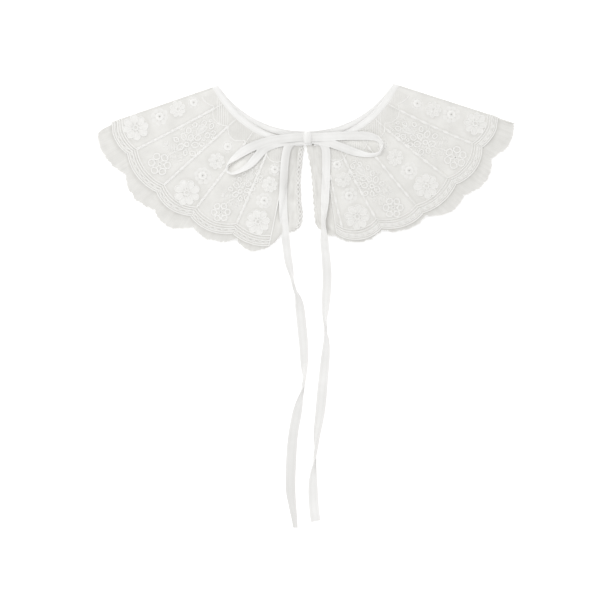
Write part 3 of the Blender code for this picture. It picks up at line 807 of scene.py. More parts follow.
# %% Build a ribbon along a settled middle line
RIBBON_THICK, RIBBON_PARTS, RIBBON_FINE = 0.42, 8, 4
RIBBON_UNEVEN, WANDER_LENGTH, CUP, CUP_WANDER, TILT = 0.05, 23.0, 0.15, 0.35, 0.25
SELVEDGE_START, SELVEDGE, STRIPE = 0.85, 1.35, 0.14
# Where a ribbon turns on edge it is painted darker on a tail, as painted shade, and lighter on a loop, as
# painted light.
TWIST_CUP, TWIST_SHADE = {"tail": 2.6, "loop": 1.2}, {"tail": 0.18, "loop": -0.1}
SAG, SINK, SETTLE_START, SETTLE_RUN = 0.45, 0.45, 2.0, 3.0
TONE_SPLIT, TONE_RUN = {"tail": 0.9, "loop": 0.5}, 0.8
DRAPE, DRAPE_MOST, DRAPE_REACH = 0.8, {"tail": 2.4, "loop": 1.8}, 1.4


def room_below(place):
    """Mean gap between a place of the ribbon and what lies under it."""
    spots = [(0, 0), (DRAPE_REACH, 0), (-DRAPE_REACH, 0), (0, DRAPE_REACH), (0, -DRAPE_REACH)]
    under = sum(top_height(place.x + x, place.y + y) for x, y in spots) / len(spots)
    return max(place.z - under - RIBBON_CLEAR, 0.0)


def ribbon_tone(route, along, part):
    """Painted light and shade of a ribbon, which change along it and across it, with two faint stripes
    lengthwise.
    """
    near, far = [from_table([(row[0], row[k]) for row in RIBBON_LIGHT_AND_SHADE[route]], along) for k in (1, 2)]
    tone = blend(near, far, smooth(part / TONE_RUN + TONE_SPLIT[route[:4]]))
    return tone - STRIPE * dip(abs(part) - 0.5, 0.2)


def ribbon(route, stands_for, seed):
    """A thin ribbon with thicker selvedges, a little cupped and never quite even."""
    kind = route[:4]
    spots = through(settled(ROUTES[route]), RIBBON_STEP / RIBBON_FINE)
    path = [Vector(spot[:3]) for spot in spots]
    grid, middles, along = [], [], 0.0
    for i, (point, spot) in enumerate(zip(path, spots)):
        before, after = path[max(i - 1, 0)], path[min(i + 1, len(path) - 1)]
        ahead = (after - before).normalized()
        level = Vector((-ahead.y, ahead.x, 0)).normalized()
        over = ahead.cross(level)
        turn = radians(spot[3])
        across = level * cos(turn) + over * sin(turn)
        face = ahead.cross(across)
        along += (point - before).length if i else 0.0
        wander = [waver(along / WANDER_LENGTH, seed, k) for k in range(3)]
        width = from_table(RIBBON_WIDTHS[route], along) * (1 + RIBBON_UNEVEN * wander[0])
        settle = abs(cos(turn)) * smooth((point.z - SETTLE_START) / SETTLE_RUN)
        edge_on = (1 - abs(cos(turn))) ** 2
        cup = CUP_WANDER * wander[1] + CUP + TWIST_CUP[kind] * edge_on
        tilt = TILT * wander[2]
        row = []
        for part in spread(-1, 1, RIBBON_PARTS):
            middle = point + across * (part * width / 2) + face * (cup * (part * part - 0.4) + tilt * part)
            middle -= over * (settle * (SINK + SAG * part * part))
            middle -= over * (settle * DRAPE * min(room_below(middle), DRAPE_MOST[kind]))
            middle.z = max(middle.z, RIBBON_THICK)
            half = RIBBON_THICK / 2 * (SELVEDGE if abs(part) > SELVEDGE_START else 1.0)
            tone = ribbon_tone(route, along, part) - TWIST_SHADE[kind] * edge_on
            row.append((middle + face * half, middle - face * half, (along, part * width / 2, tone)))
            if part == 0:
                middles.append(middle)
        grid.append(row)
    work = Work()
    work.wall(grid)
    piece = work.piece(f"ribbon_{route}", ribbon_cloth, "ribbon", stands_for)
    print(piece.name, "is", round(along), "mm long")
    return piece, middles, along


for word, seed in (("left", 1.5), ("right", 7.5)):
    tail, path, length = ribbon(f"tail_{word}", f"tail_{word}", seed)

# %% [markdown]
# ## Organza layer
# The plain under layer is a little longer than the net. Its hem was cut with a hot edge that left tiny
# teeth, so the last row of points steps in and out from line to line. It comes down past the net's hem, as
# thin cloth does.

# %% Organza layer
UNDER_FRONT_STEP, UNDER_BACK_STEP, UNDER_ROWS, UNDER_STRIP_ROWS = 1.0, 3.0, 40, 12
# The organza's tone on the shoulder fold and on the back half is darker than the front's: painted shade.
UNDER_TOP, UNDER_LOW, NECK_OVERLAP, ORGANZA_FOLD_SHADE = 0.9, 0.55, 1.5, 0.75
TOOTH, RIB, RIB_RUN, BACK_DROP = 0.8, 0.04, 4.0, 0.9
HEM_WAVE, HEM_WAVES, FLUTTER, FLUTTER_RUN = 1.3, [(0.55, 5.0), (1.7, 9.0)], 0.4, 6.0
PICOT_WIDTH, PICOT_PITCH, PICOT_HOLE, PICOT_BACK = 4.6, 4.4, 1.0, 1.3
WAVE_PITCH, WAVE = 6.5, 1.0
CORNER, CORNER_PLACE, CORNER_WIDTH = {-1: 5.0, 1: 2.0}, 0.12, 0.14
ORGANZA_CLOSE, STREAK, NET_SHADOW, CUT_EDGE = {-1: 0.86, 1: 0.81}, 0.14, 0.28, 0.22
# The front strip's added lightness is painted light on the shaded organza beside the front edge; its
# mottling is the cloth's own.
FRONT_STRIP, FRONT_LIGHT, FRONT_MOTTLE = 12.0, {-1: 0.03, 1: 0.07}, 0.3
# Painted shade round the bow, as soft ovals: x, y, width, height and how much darker; below zero is painted
# light inside a loop.
BOW_SHADE = {
    -1: [(-8.0, 18.0, 4.5, 11.0, 0.45), (-39.0, 8.0, 7.0, 7.0, 0.15), (-66.0, 5.0, 11.0, 6.0, -0.4)],
    1: [(9.4, 22.4, 3.4, 3.4, 0.5), (52.0, 25.0, 18.0, 5.0, -0.3)],
}
SHOULDER_ROUND, SHOULDER_REACH, CORNER_LINES = {-1: 16.0, 1: 0.0}, 3.4, (2.4, 2.0, 1.6, 1.25, 0.9)
EDGE_INSET = {
    -1: [
        (89, -1.2), (94, 0.2), (100, 1.2), (109, 1.5), (119, 2.5), (127, 2.5), (134, 1.8), (146, 1.0),
        (157, -1.2), (166, -1.2), (171, 0.6), (180, 3.4),
    ],
    1: [
        (89, -1.6), (94, -1.0), (104, 0.2), (112, 1.2), (119, 1.7), (134, 1.4), (154, 0.8), (164, 0.2),
        (170, 1.0), (180, 4.0),
    ],
}


def organza_height(side, angle, radius):
    """Height of the organza's front over its flat place in the stack."""
    drop = under_drop(side, angle, radius, FRONT, LACE[side].edge_angle(radius))
    flutter = FLUTTER * smooth((radius - LACE[side].front_hem(angle)) / FLUTTER_RUN)
    return rise(side, angle, radius) - drop + flutter * waver(angle * 0.5, radius / 9.0, side)


def edge_shift(side, share, radius):
    """How far the organza keeps back from its plain front edge, for the picot band or in small waves."""
    back = PICOT_BACK if side < 0 else WAVE * (0.5 + 0.5 * sin(2 * pi * radius / WAVE_PITCH))
    return (from_table(EDGE_INSET[side], radius) + back) * (1 - share)


def bow_shade(side, x, y):
    """Painted shade round the bow: how much darker the cloth is made, or lighter (below zero) as painted
    light in a loop.
    """
    depth = 0.0
    for centre_x, centre_y, wide, tall, most in BOW_SHADE[side]:
        depth += most * dip(hypot((x - centre_x) / wide, (y - centre_y) / tall), 1.0)
    return depth


def organza_tone(side, angle, radius, past_net, from_hem, rib):
    """Painted shadow past the net and shade round the bow, painted light on the front strip, and a lighter
    cut edge.
    """
    tone = ORGANZA_CLOSE[side] - NET_SHADOW * dip(past_net, 2.2) + 1.2 * rib * smooth(past_net / 3.0)
    tone += STREAK * waver(angle * 1.3, radius / 45.0, 7.0 * side)
    mottled = FRONT_LIGHT[side] + FRONT_MOTTLE * waver(angle * 0.9, radius / 12.0, 4.0)
    tone += mottled * smooth((FRONT_STRIP - angle) / 3.0)
    return tone - bow_shade(side, *plan(side, angle, radius)) + CUT_EDGE * dip(from_hem, 0.9)


def organza(side):
    layer, draw, grid = UNDER[side], Random(11 + side), []
    first_edge, first_panel = layer.gores[0].hem_angle, layer.gores[1].hem_angle - layer.gores[0].hem_angle
    for i, line in enumerate(layer.lines(UNDER_FRONT_STEP, UNDER_BACK_STEP, CORNER_LINES)):
        share = (line.hem_angle - first_edge) / first_panel
        hem = layer.hem(line)
        for pitch, level in HEM_WAVES:
            hem += HEM_WAVE * waver(line.hem_angle * pitch, line.bend / 40.0, level * side)
        if line.bend == FRONT:
            hem += CORNER[side] * dip(share - CORNER_PLACE, CORNER_WIDTH)
        hem -= SHOULDER_ROUND[side] * dip(radians(SHOULDER[side] - line.hem_angle) * hem, SHOULDER_REACH)
        edge = min(LACE[side].hem(line) + DROP_CLEAR, hem - DROP_CLEAR)
        way = 1 if i % 2 else -1
        tooth, rib = way * TOOTH * draw.uniform(0.35, 1.0), way * RIB * draw.uniform(0.5, 1.0)
        radii = spread(layer.neck(line) - NECK_OVERLAP, edge, UNDER_ROWS)[:-1]
        radii += spread(edge, hem - 1.0, UNDER_STRIP_ROWS) + [hem + tooth]
        row = []
        for radius in radii:
            angle, height, tone, here = line_angle(line, radius), 0.0, ORGANZA_FOLD_SHADE, line
            if line.bend == BACK:
                height = -min(under_drop(side, angle, radius, BACK), BACK_DROP)
            elif line.bend == FRONT:
                if share < 1.0:
                    here = line._replace(shift=edge_shift(side, share, radius))
                    angle += degrees(here.shift / radius)
                height = organza_height(side, angle, radius) + rib * smooth((radius - edge) / RIB_RUN)
                tone = organza_tone(side, angle, radius, radius - edge, hem + tooth - radius, rib)
            row.append(layer.cell(here, radius, UNDER_TOP, UNDER_LOW, height, tone))
        grid.append(row)
    work = Work()
    work.wall(grid)
    return work.piece(f"organza_{SIDES[side]}", organza_cloth, "organza", f"under_{SIDES[side]}")


organzas = {side: organza(side) for side in SIDES}

# %% [markdown]
# ## Flowers on the net
# Every second panel between the gores has a row of four flowers that grow smaller towards the neck: a large
# daisy, a ring flower, a small daisy and a small ring flower. They are listed before the net is made,
# because the middle of each ring flower is a real opening in the net, as the middle of each six-loop flower
# is.

# %% Where the flowers grow
Flower = namedtuple("Flower", "kind x y radius")
FLOWER_ROWS = {
    -1: [
        [(-169.3, 40.8, 12.5), (-145.3, 51.8, 8.5), (-127.3, 59.3, 7.5), (-111.3, 65.8, 6)],
        [(-118.3, -24.2, 12.5), (-102.3, -7.2, 8.5), (-88.3, 7.3, 7.8), (-77.3, 21.8, 6)],
        [(-47.3, -53.2, 12), (-40.8, -32.2, 8), (-35.3, -16.2, 7.5), (-30.3, -1.2, 6)],
    ],
    1: [
        [(169.7, 44.8, 11), (145.7, 53.8, 8.5), (127.7, 58.8, 7.5), (111.7, 64.8, 6)],
        [(120.7, -17.7, 12), (103.7, -2.2, 8.5), (89.7, 10.8, 7.8), (77.2, 23.2, 6)],
        [(51.7, -48.2, 12), (43.7, -27.2, 8), (37.7, -11.2, 7.5), (31.7, 3.8, 6)],
    ],
}
KINDS = ("daisy", "ring", "daisy", "ring")
FLOWERS = {
    side: [Flower(kind, *spot) for row in rows for kind, spot in zip(KINDS, row)]
    for side, rows in FLOWER_ROWS.items()
}
RING_HOLE, DAISY_HOLE = 0.085, 0.08

# %% [markdown]
# ## Sprays on the net
# The panels between hold a spray. From the hem to the neck it has a flower of six loops, three combs of
# stripes, a ring flower with small loops around it, a leaf, and more combs and small rings, with seed
# stitches strewn between them. One chart serves all four sprays. It counts from the six-loop flower,
# towards the neck and towards the shoulder, and each spray has its own place and size.

# %% Where the sprays grow
Spray = namedtuple("Spray", "x y to_x to_y size")
SPRAYS = {
    -1: [Spray(-145.3, 4.3, -93.3, 45.8, 1.0), Spray(-84.3, -43.7, -52.3, -6.2, 0.85)],
    1: [Spray(149.7, 10.8, 96.7, 40.8, 1.0), Spray(87.7, -39.2, 44.7, 8.8, 0.9)],
}
SIX_TURNS, SIX_REACH = [60 * k + 12 for k in range(6)], 8.0
SPRAY_RING = (33.4, -1.6)
SPRAY_LOOPS = [
    (27.1, 0.3, 3.2), (35.9, 6.4, 3.0), (32.3, -12.2, 2.6), (39.6, -7.1, 2.9), (41.0, 1.2, 2.6),
    (46.2, -3.3, 2.7), (28.2, 8.6, 2.3), (43.6, 8.0, 2.3), (27.0, -7.2, 2.3), (45.4, -10.8, 2.2),
    (64.0, -2.7, 2.5), (60.4, 4.4, 2.2), (61.1, -9.0, 2.0), (55.2, -7.4, 2.3), (51.8, 8.6, 2.0),
]
SPRAY_SMALL_RINGS = [(49.8, -8.0, 0.9), (57.8, -12.0, 0.8), (67.0, 2.0, 0.9)]
SPRAY_COMBS = [
    (66.0, 8.0, 70.0, 5, 1.6, 5.0), (70.0, -6.0, 110.0, 4, 1.6, 4.5), (19.8, 4.5, 51.0, 6, 1.6, 8.0),
    (15.1, -3.0, 51.0, 4, 1.6, 6.5), (20.5, -8.0, -39.0, 5, 1.6, 6.0), (39.5, 13.0, 70.0, 4, 1.5, 4.5),
    (37.5, -14.5, 40.0, 4, 1.5, 4.5),
]
SPRAY_FAN, FAN_TURNS = (18.0, 8.5), (60, 82, 104, 126, 148)
SPRAY_LEAF, LEAF_LEAN, LEAF_LENGTH, LEAF_HALF = (53.2, 1.0), 6.0, 13.5, 3.8
SPRAY_STEMS = [(8.0, 0.0, 1.2, 0.45, 15), (36.0, -0.5, 1.5, 0.35, 18)]
SEEDS, SEED_MIDDLE, SEED_REACH, SEED_CLEAR = 240, (38.0, -1.0), (34.0, 14.0), 0.6


def moved(x, y, lean, along, across=0.0):
    """The place that lies some way along a lean from x, y, and some way across it."""
    ahead, aside = cos(radians(lean)), sin(radians(lean))
    return x + along * ahead - across * aside, y + along * aside + across * ahead


def lean_between(start, end):
    return degrees(atan2(end[1] - start[1], end[0] - start[0]))


def spray_lean(side, spray, turn=0.0):
    """Lean on the plan of a direction in a spray's chart, which is mirrored on the right side."""
    return lean_between((spray.x, spray.y), (spray.to_x, spray.to_y)) - side * turn


def spray_place(side, spray, forward, sideways):
    """A chart place of a spray, in plan millimetres."""
    lean, size = spray_lean(side, spray), spray.size
    return moved(spray.x, spray.y, lean, forward * size, -side * sideways * size)


def spray_rings(side):
    """Every ring of a side's sprays: place and radius."""
    chart = [(*moved(0, 0, turn, SIX_REACH), 3.2) for turn in SIX_TURNS]
    chart += SPRAY_LOOPS + [(*SPRAY_RING, 2.0)] + SPRAY_SMALL_RINGS
    rings = []
    for spray in SPRAYS[side]:
        for forward, sideways, radius in chart:
            rings.append((*spray_place(side, spray, forward, sideways), radius * spray.size))
    return rings


SPRAY_RINGS = {side: spray_rings(side) for side in SIDES}
EYELETS = {}
for side in SIDES:
    EYELETS[side] = [(f.x, f.y, f.radius * RING_HOLE) for f in FLOWERS[side] if f.kind == "ring"]
    EYELETS[side] += [(spray.x, spray.y, 0.5 * spray.size) for spray in SPRAYS[side]]
    print(SIDES[side], "openings in the net:", len(EYELETS[side]))

# %% [markdown]
# ## Net ground
# The net is as thin as a tissue, with a fine mesh that only shows close up, so the material draws the mesh.
# Where the embroidery has an eyelet, cells of the grid are left out and the wall round the opening is
# closed.

# %% Net ground
NET_STEP, NET_BACK_STEP, NET_ROWS, NET_EDGE, NET_EDGE_ROWS = 1.05, 2.6, 84, 12.0, 20
NET_TOP, NET_BACK_TOP, NET_THICK, EYELET_CLEAR = 0.3, 0.2, 0.35, 0.2
# The net's tone on the shoulder fold is darker than the front's: painted shade.
NET_CLOSE, NET_FOLD_SHADE, BACK_CLOSE = {-1: 0.88, 1: 0.85}, 0.65, 0.9
ALMOND_LANE, ALMOND_SWING, ALMOND_STEP, ALMOND_OPEN = 4.35, 1.15, 1.95, {-1: 0.44, 1: 0.22}
OPEN_LANES = {
    -1: [(1.3, 0.5, 0.28), (7.0, 0.8, 0.31), (9.5, 0.8, 0.31), (12.4, 1.2, 0.12)],
    1: [(1.3, 0.5, 0.20), (7.0, 0.8, 0.14), (9.5, 0.8, 0.18), (12.4, 1.2, 0.10)],
}
SPRAY_REACH = 80.0


def almond(angle):
    """How far the two threads of the border's almond chain swing apart at an angle, from 0 to 1."""
    return abs(sin(pi * angle / ALMOND_STEP))


def net_top(bend):
    """How far the net's outer side is off the middle of the solid's wall, at the front and at the back."""
    return NET_TOP + NET_BACK_TOP * sin(radians(bend))


def darker_round(off, radius, gap, width, drawn, inner, run):
    """How much darker the net is in a soft band just outside a ring or a flower, and inside it."""
    return drawn * dip(off - radius - gap, width) + inner * smooth((radius - off) / run)


def net_tone(side, x, y, angle, radius, inset):
    """Net lightness: darker in border lanes and round flowers, painted shade beside gore cords and round
    the bow.
    """
    tone = NET_CLOSE[side]
    flat = smooth((SHOULDER[side] - angle) / 8.0)
    for lane, width, depth in OPEN_LANES[side]:
        tone -= flat * depth * dip(inset - lane, width)
    tone -= ALMOND_OPEN[side] * almond(angle) * dip(inset - ALMOND_LANE, 1.1)
    # Painted shade beside each gore cord.
    for gore in LACE_FRONT[side]:
        off = abs(angle - line_angle(gore, radius)) * radians(radius)
        tone -= 0.14 * dip(off - 1.8, 0.9)
    for flower in FLOWERS[side]:
        off = hypot(x - flower.x, y - flower.y)
        if flower.kind == "daisy" and off < flower.radius + 4:
            tone -= darker_round(off, flower.radius, 1.4, 1.2, 0.10, 0.20, 3.0)
        elif off < flower.radius:
            tone -= 0.05 * smooth((flower.radius - off) / 3.0)
    if any(hypot(x - spray.x, y - spray.y) < SPRAY_REACH for spray in SPRAYS[side]):
        for ring_x, ring_y, ring_radius in SPRAY_RINGS[side]:
            off = hypot(x - ring_x, y - ring_y)
            if off < ring_radius + 2.5:
                tone -= darker_round(off, ring_radius, 1.1, 0.8, 0.12, 0.10, 1.5)
    near_neck = smooth((ARC_NOTCH + ARC_BULGE - radius) / 6.0)
    tone -= (0.08 - 0.14 * smooth((angle - 59.0) / 3.0)) * near_neck
    return max(tone - bow_shade(side, x, y), 0.1)


def net(side):
    layer, grid, gaps = LACE[side], [], set()
    lines = layer.lines(NET_STEP, NET_BACK_STEP)
    for line in lines:
        hem, row = layer.hem(line), []
        radii = spread(layer.neck(line) - NECK_OVERLAP, hem - NET_EDGE, NET_ROWS)[:-1]
        for radius in radii + spread(hem - NET_EDGE, hem, NET_EDGE_ROWS):
            height, tone = 0.0, BACK_CLOSE if line.bend == BACK else NET_FOLD_SHADE
            if line.bend == FRONT:
                angle = line_angle(line, radius)
                height = rise(side, angle, radius)
                tone = net_tone(side, *plan(side, angle, radius), angle, radius, hem - radius)
            top = net_top(line.bend)
            row.append(layer.cell(line, radius, top, top - NET_THICK, height, tone))
        grid.append(row)
    for i in range(sum(line.bend == FRONT for line in lines) - 1):
        for j in range(NET_ROWS):
            middle = (grid[i][j][0] + grid[i + 1][j + 1][0]) / 2
            if any(hypot(middle.x - x, middle.y - y) < size + EYELET_CLEAR for x, y, size in EYELETS[side]):
                gaps.add((i, j))
    work = Work()
    work.wall(grid, gaps)
    print("openings take", len(gaps), "cells")
    return work.piece(f"net_{SIDES[side]}", net_cloth, "embroidered_lace", f"lace_{SIDES[side]}")


nets = {side: net(side) for side in SIDES}

# %% [markdown]
# ## Threads that lie on the net
# Embroidery threads are round tubes pressed a little into the cloth, and satin pads are low domes. Both
# need the height of the net at any place, and sit on it by adding that height.

# %% Helpers that lay threads and pads on the net
EMBROIDERY = {side: [] for side in SIDES}
THREAD_TONE, THREAD_RISE, THREAD_TAPER = {-1: 1.0, 1: 0.89}, 0.25, 0.35
PAD_BASE, PAD_UNDER, PAD_ENDS, PAD_ROUND = 0.03, -0.1, (0.02, 0.98), 0.6
BAR = {"power": 1.0, "parts": 4}


def on_net(side, x, y, above=0.0):
    """A point of the net's upper side at a plan place, or above it."""
    top = STACK_MIDDLE + LACE_TURN + net_top(FRONT)
    return Vector((x, y, top + rise(side, *polar(x, y)) + above))


def thread(work, side, spots, radius, closed=False, flat=0.8, lightness=1.0, lift=0.0):
    """A thread through plan places, partly sunk into the net, with thin ends."""
    path = [on_net(side, x, y, radius * THREAD_RISE + lift) for x, y in spots]
    work.tube(path, radius, flat=flat, closed=closed, lightness=lightness, taper=THREAD_TAPER)


def ring(work, side, x, y, radius, thick, squash=1.0, lean=0.0, lightness=1.0):
    """A thread round a small circle, or round an oval that is narrow along its lean."""
    count = max(8, int(radius * 7))
    turns = [2 * pi * i / count for i in range(count)]
    spots = [moved(x, y, lean, radius * cos(turn) * squash, radius * sin(turn)) for turn in turns]
    thread(work, side, spots, thick, closed=True, lightness=lightness)


def pad(work, side, x, y, lean, length, half_width, height, steps=7, parts=6, power=1.25, lightness=0.8):
    """A satin pad: a closed low dome that starts at x, y and runs along its lean."""
    grid = []
    for share in spread(*PAD_ENDS, steps):
        wide, row = half_width * sin(pi * share ** power) ** PAD_ROUND, []
        for part in spread(-1, 1, parts):
            base = on_net(side, *moved(x, y, lean, share * length, part * wide))
            dome = (1 - part * part) ** 0.5 * (0.55 + 0.45 * sin(pi * share))
            upper, lower = base + UP * (PAD_BASE + height * dome), base + UP * PAD_UNDER
            row.append((upper, lower, (share * length, part * wide, lightness)))
        grid.append(row)
    work.wall(grid)


def embroider(name, lay):
    """Lets a function lay one kind of embroidery on both sides, and keeps the two pieces."""
    for side, word in SIDES.items():
        work = Work(THREAD_TONE[side])
        lay(work, side)
        EMBROIDERY[side].append(work.piece(f"{name}_{word}", embroidery_thread, "embroidered_lace"))


# %% [markdown]
# ## Border, gore cords and the row of arcs at the neck
# Five lines of cord follow the scalloped hem. In the lane between the second and the third, two threads
# swing apart and together, so that they make a chain of almond shapes. On the right side each almond holds
# a small satin block. The lines are laid through the same lines of cloth as the net, so they wrap round the
# shoulder fold with it. The gore cords run from the arcs at the neck to the border, and a row of arcs
# closes the panels near the neck.

# %% Border along the hem
BORDER_LINES = {
    -1: [(0.5, 0.62), (2.4, 0.55), (5.9, 0.55), (8.3, 0.62), (10.8, 0.62)],
    1: [(0.5, 0.62), (2.4, 0.50), (5.9, 0.50), (8.3, 0.55), (10.8, 0.58)],
}
ALMOND_THICK, BLOCK_LENGTH, BLOCK_HALF, BLOCK_HEIGHT = 0.42, 4.2, 0.95, 0.5
BORDER_STEP, BORDER_BACK, BORDER_RISE = 0.9, 40, 0.3


def border_path(side, lines, inset, swing, thick):
    """A path through lines of cloth, at an inset from the hem that may swing to and fro."""
    layer, path, normals = LACE[side], [], []
    for line in lines:
        radius = layer.hem(line) - inset - swing * sin(pi * line.hem_angle / ALMOND_STEP)
        angle, turn = line_angle(line, radius), radians(line.bend)
        height = rise(side, angle, radius) if line.bend == FRONT else 0.0
        path.append(layer.place(line, radius, net_top(line.bend) + thick * BORDER_RISE, height))
        out_x, out_y = side * cos(radians(angle)), sin(radians(angle))
        normals.append(Vector((cos(turn) * out_x, cos(turn) * out_y, -sin(turn))))
    return path, normals


def border(work, side):
    layer = LACE[side]
    lines = layer.front_lines(BORDER_STEP) + layer.fold_lines()
    lines += layer.back_lines(NET_BACK_STEP)[:BORDER_BACK]
    lanes = [(inset, 0.0, thick, 1.0) for inset, thick in BORDER_LINES[side]]
    lanes += [(ALMOND_LANE, swing, ALMOND_THICK, 0.9) for swing in (ALMOND_SWING, -ALMOND_SWING)]
    for inset, swing, thick, lightness in lanes:
        path, normals = border_path(side, lines, inset, swing, thick)
        work.tube(path, thick, normals, lightness=lightness)
    angle = (int(layer.gores[0].hem_angle / ALMOND_STEP) + 1.5) * ALMOND_STEP
    while side > 0 and angle < SHOULDER[side] - FOLD_MARGIN:
        reach = degrees(BLOCK_LENGTH / 2 / layer.front_hem(angle))
        angles = angle - reach, angle + reach
        start, end = [plan(side, at, layer.front_hem(at) - ALMOND_LANE) for at in angles]
        lean, length = lean_between(start, end), dist(start, end)
        pad(work, side, *start, lean, length, BLOCK_HALF, BLOCK_HEIGHT, lightness=0.95, **BAR)
        angle += ALMOND_STEP


embroider("border", border)

# %% Gore cords with their beads
BEAD_START, BEAD_LENGTH, BEAD_HALF, BEAD_PITCH, BEAD_HEIGHT = 5.0, 7.4, 1.55, 11.8, 0.95
ROPE_SWING, ROPE_TURN, ROPE_THREAD, ROPE_STEP = 0.7, 8.4, 0.66, 0.9
KNOT_START, KNOT_END, KNOT_PITCH = 2.0, 3.5, 6.4
CORD_STEP, CORD_OFF, EDGE_CORD_STEPS, EDGE_CORD = 1.2, 0.5, 60, 0.6
CORD_THICK, BORDER_WIDTH = {-1: 0.7, 1: 0.5}, 10.8


def gore_spot(side, gore, radius, off=0.0):
    return plan(side, line_angle(gore, radius) + degrees(off / radius), radius)


def stitch(work, side, gore, radius, length, half_width):
    """A satin bead that lies along a gore cord."""
    near, far = gore_spot(side, gore, radius), gore_spot(side, gore, radius + length)
    pad(work, side, *near, lean_between(near, far), length, half_width, BEAD_HEIGHT, power=1.0, lightness=1.0)


def rope(work, side, gore, start, end, draw):
    """Two threads twisted round each other, with a thicker stitch here and there."""
    radii = spread(start, end, int((end - start) / ROPE_STEP))
    for phase in (0.0, pi):
        swings = [ROPE_SWING * sin(2 * pi * radius / ROPE_TURN + phase) for radius in radii]
        spots = [gore_spot(side, gore, radius, swing) for radius, swing in zip(radii, swings)]
        thread(work, side, spots, ROPE_THREAD, flat=1.0)
    radius = start + KNOT_START
    while radius + KNOT_END < end:
        length = draw.uniform(2.8, 4.6)
        stitch(work, side, gore, radius, length, draw.uniform(1.3, 1.8))
        radius += KNOT_PITCH * draw.uniform(0.8, 1.25)


def gore_cord(work, side, gore, start, end, steps, off, thick):
    """A plain cord, a little off the middle of its gore."""
    spots = [gore_spot(side, gore, radius, off) for radius in spread(start, end, steps)]
    thread(work, side, spots, thick)


def gore_cords(work, side):
    layer, draw = LACE[side], Random(31 + side)
    for gore in LACE_FRONT[side]:
        start, end, off = ARC_NOTCH, gore.notch - BORDER_WIDTH, 0.0
        if side < 0 and gore is not LACE_FRONT[side][0]:
            rope(work, side, gore, start, end, draw)
            continue
        if side < 0:
            start, end, off = layer.neck(along_gore(gore)), gore.notch, CORD_OFF
        gore_cord(work, side, gore, start, end, int((end - start) / CORD_STEP), off, CORD_THICK[side])
        radius = start + BEAD_START
        while side > 0 and radius + BEAD_LENGTH < end:
            stitch(work, side, gore, radius, BEAD_LENGTH, BEAD_HALF)
            radius += BEAD_PITCH
    if side > 0:
        edge = layer.gores[0]
        start = layer.neck(along_gore(edge))
        gore_cord(work, side, edge, start, edge.notch, EDGE_CORD_STEPS, CORD_OFF, EDGE_CORD)


embroider("gore_cords", gore_cords)

# %% Arcs and upright threads near the neck
ARC_STEP, ARC_THICK, NECK_CORD, NECK_CORD_STEPS = 0.9, 0.6, 0.5, 6
UPRIGHT_FIRST, UPRIGHT_LAST, UPRIGHT_PITCH = 8.0, 108.0, 2.1
UPRIGHT_TOP, UPRIGHT_BOTTOM, UPRIGHT_STEP = 92.0, -15.5, 0.9
UPRIGHT_THICK, FAINT_THICK, FAINT_CLOSE = 0.36, 0.6, 0.55
STRONG_CELL = {-1: (47.3, 59.6), 1: (34.3, 47.6)}


def arc_radius(side, angle):
    return ARC_NOTCH + ARC_BULGE * scallop(LACE[side].sector(angle)[2])


def upright(side, x, first, last):
    """Places of one upright thread, between the binding and the arcs."""
    run = []
    for fall in every(0.0, UPRIGHT_TOP - UPRIGHT_BOTTOM, UPRIGHT_STEP):
        angle, radius = polar(x, UPRIGHT_TOP - fall)
        edge = neckline(side, FRONT, angle) + BINDING_WIDTH
        if first < angle < last and edge - 0.3 < radius < arc_radius(side, angle) - 0.4:
            run.append((x, UPRIGHT_TOP - fall))
    return run


def neck_arcs(work, side):
    first, last = LACE[side].gores[0].hem_angle, SHOULDER[side] - FOLD_MARGIN
    angles = spread(first, last, int((last - first) * radians(ARC_NOTCH) / ARC_STEP))
    thread(work, side, [plan(side, angle, arc_radius(side, angle)) for angle in angles], ARC_THICK)
    for gore in LACE_FRONT[side]:
        inner = neckline(side, FRONT, gore.neck_angle) + BINDING_WIDTH - 0.5
        radii = spread(inner, ARC_NOTCH, NECK_CORD_STEPS)
        thread(work, side, [plan(side, gore.neck_angle, radius) for radius in radii], NECK_CORD)
    x = side * UPRIGHT_FIRST
    while abs(x) < UPRIGHT_LAST:
        run = upright(side, x, first, last)
        if len(run) > 2:
            strong = STRONG_CELL[side][0] < polar(*run[len(run) // 2])[0] < STRONG_CELL[side][1]
            thick, lightness = (1.0, 1.0) if strong else (FAINT_THICK, FAINT_CLOSE)
            thread(work, side, run, UPRIGHT_THICK * thick, lightness=lightness)
        x += side * UPRIGHT_PITCH


embroider("neck_arcs", neck_arcs)

# %% [markdown]
# ## Edges of the two fronts
# The left front of the organza ends in a picot band: a row of small eyelets between two cords, with a bulge
# outside each eyelet. The right front ends in small waves with a cord along them. Both lie beside the net,
# on the organza.

# %% Edges of the two fronts
EDGE_STEP, EDGE_PARTS, EDGE_THREAD, EDGE_RISE = 0.5, 12, 0.42, 0.4
EDGE_START, EDGE_END, EDGE_THREAD_STEP = 92.0, 173.0, 0.7
BAND_LIFT, BAND_THICK, BAND_CLOSE = 0.5, 0.4, 0.8
PICOT_BULGE, PICOT_SWING, PICOT_THREAD = 1.0, 1.5, 0.48
RIGHT_START, RIGHT_END, RIGHT_STEP = 97.0, 171.0, 0.8
INNER_START, INNER_INSET = 120.0, 3.2


def edge_point(side, radius, shift, above=0.0):
    """A place at the organza's front edge, a distance in from the plain edge."""
    layer = UNDER[side]
    height = organza_height(side, layer.edge_angle(radius) + degrees(shift / radius), radius)
    return layer.place(along_gore(layer.gores[0], shift), radius, UNDER_TOP, height + above)


def edge_thread(work, side, radii, shift_at, thick, lightness=1.0):
    path = [edge_point(side, radius, shift_at(radius), thick * EDGE_RISE) for radius in radii]
    work.tube(path, thick, lightness=lightness)


def inside_waves(radius):
    return from_table(EDGE_INSET[1], radius) + INNER_INSET


def picot_outside(radius):
    bulge = abs(sin(pi * radius / PICOT_PITCH))
    return from_table(EDGE_INSET[-1], radius) + PICOT_BULGE * (1 - bulge)


def picot_inside(radius):
    return from_table(EDGE_INSET[-1], radius) + PICOT_WIDTH


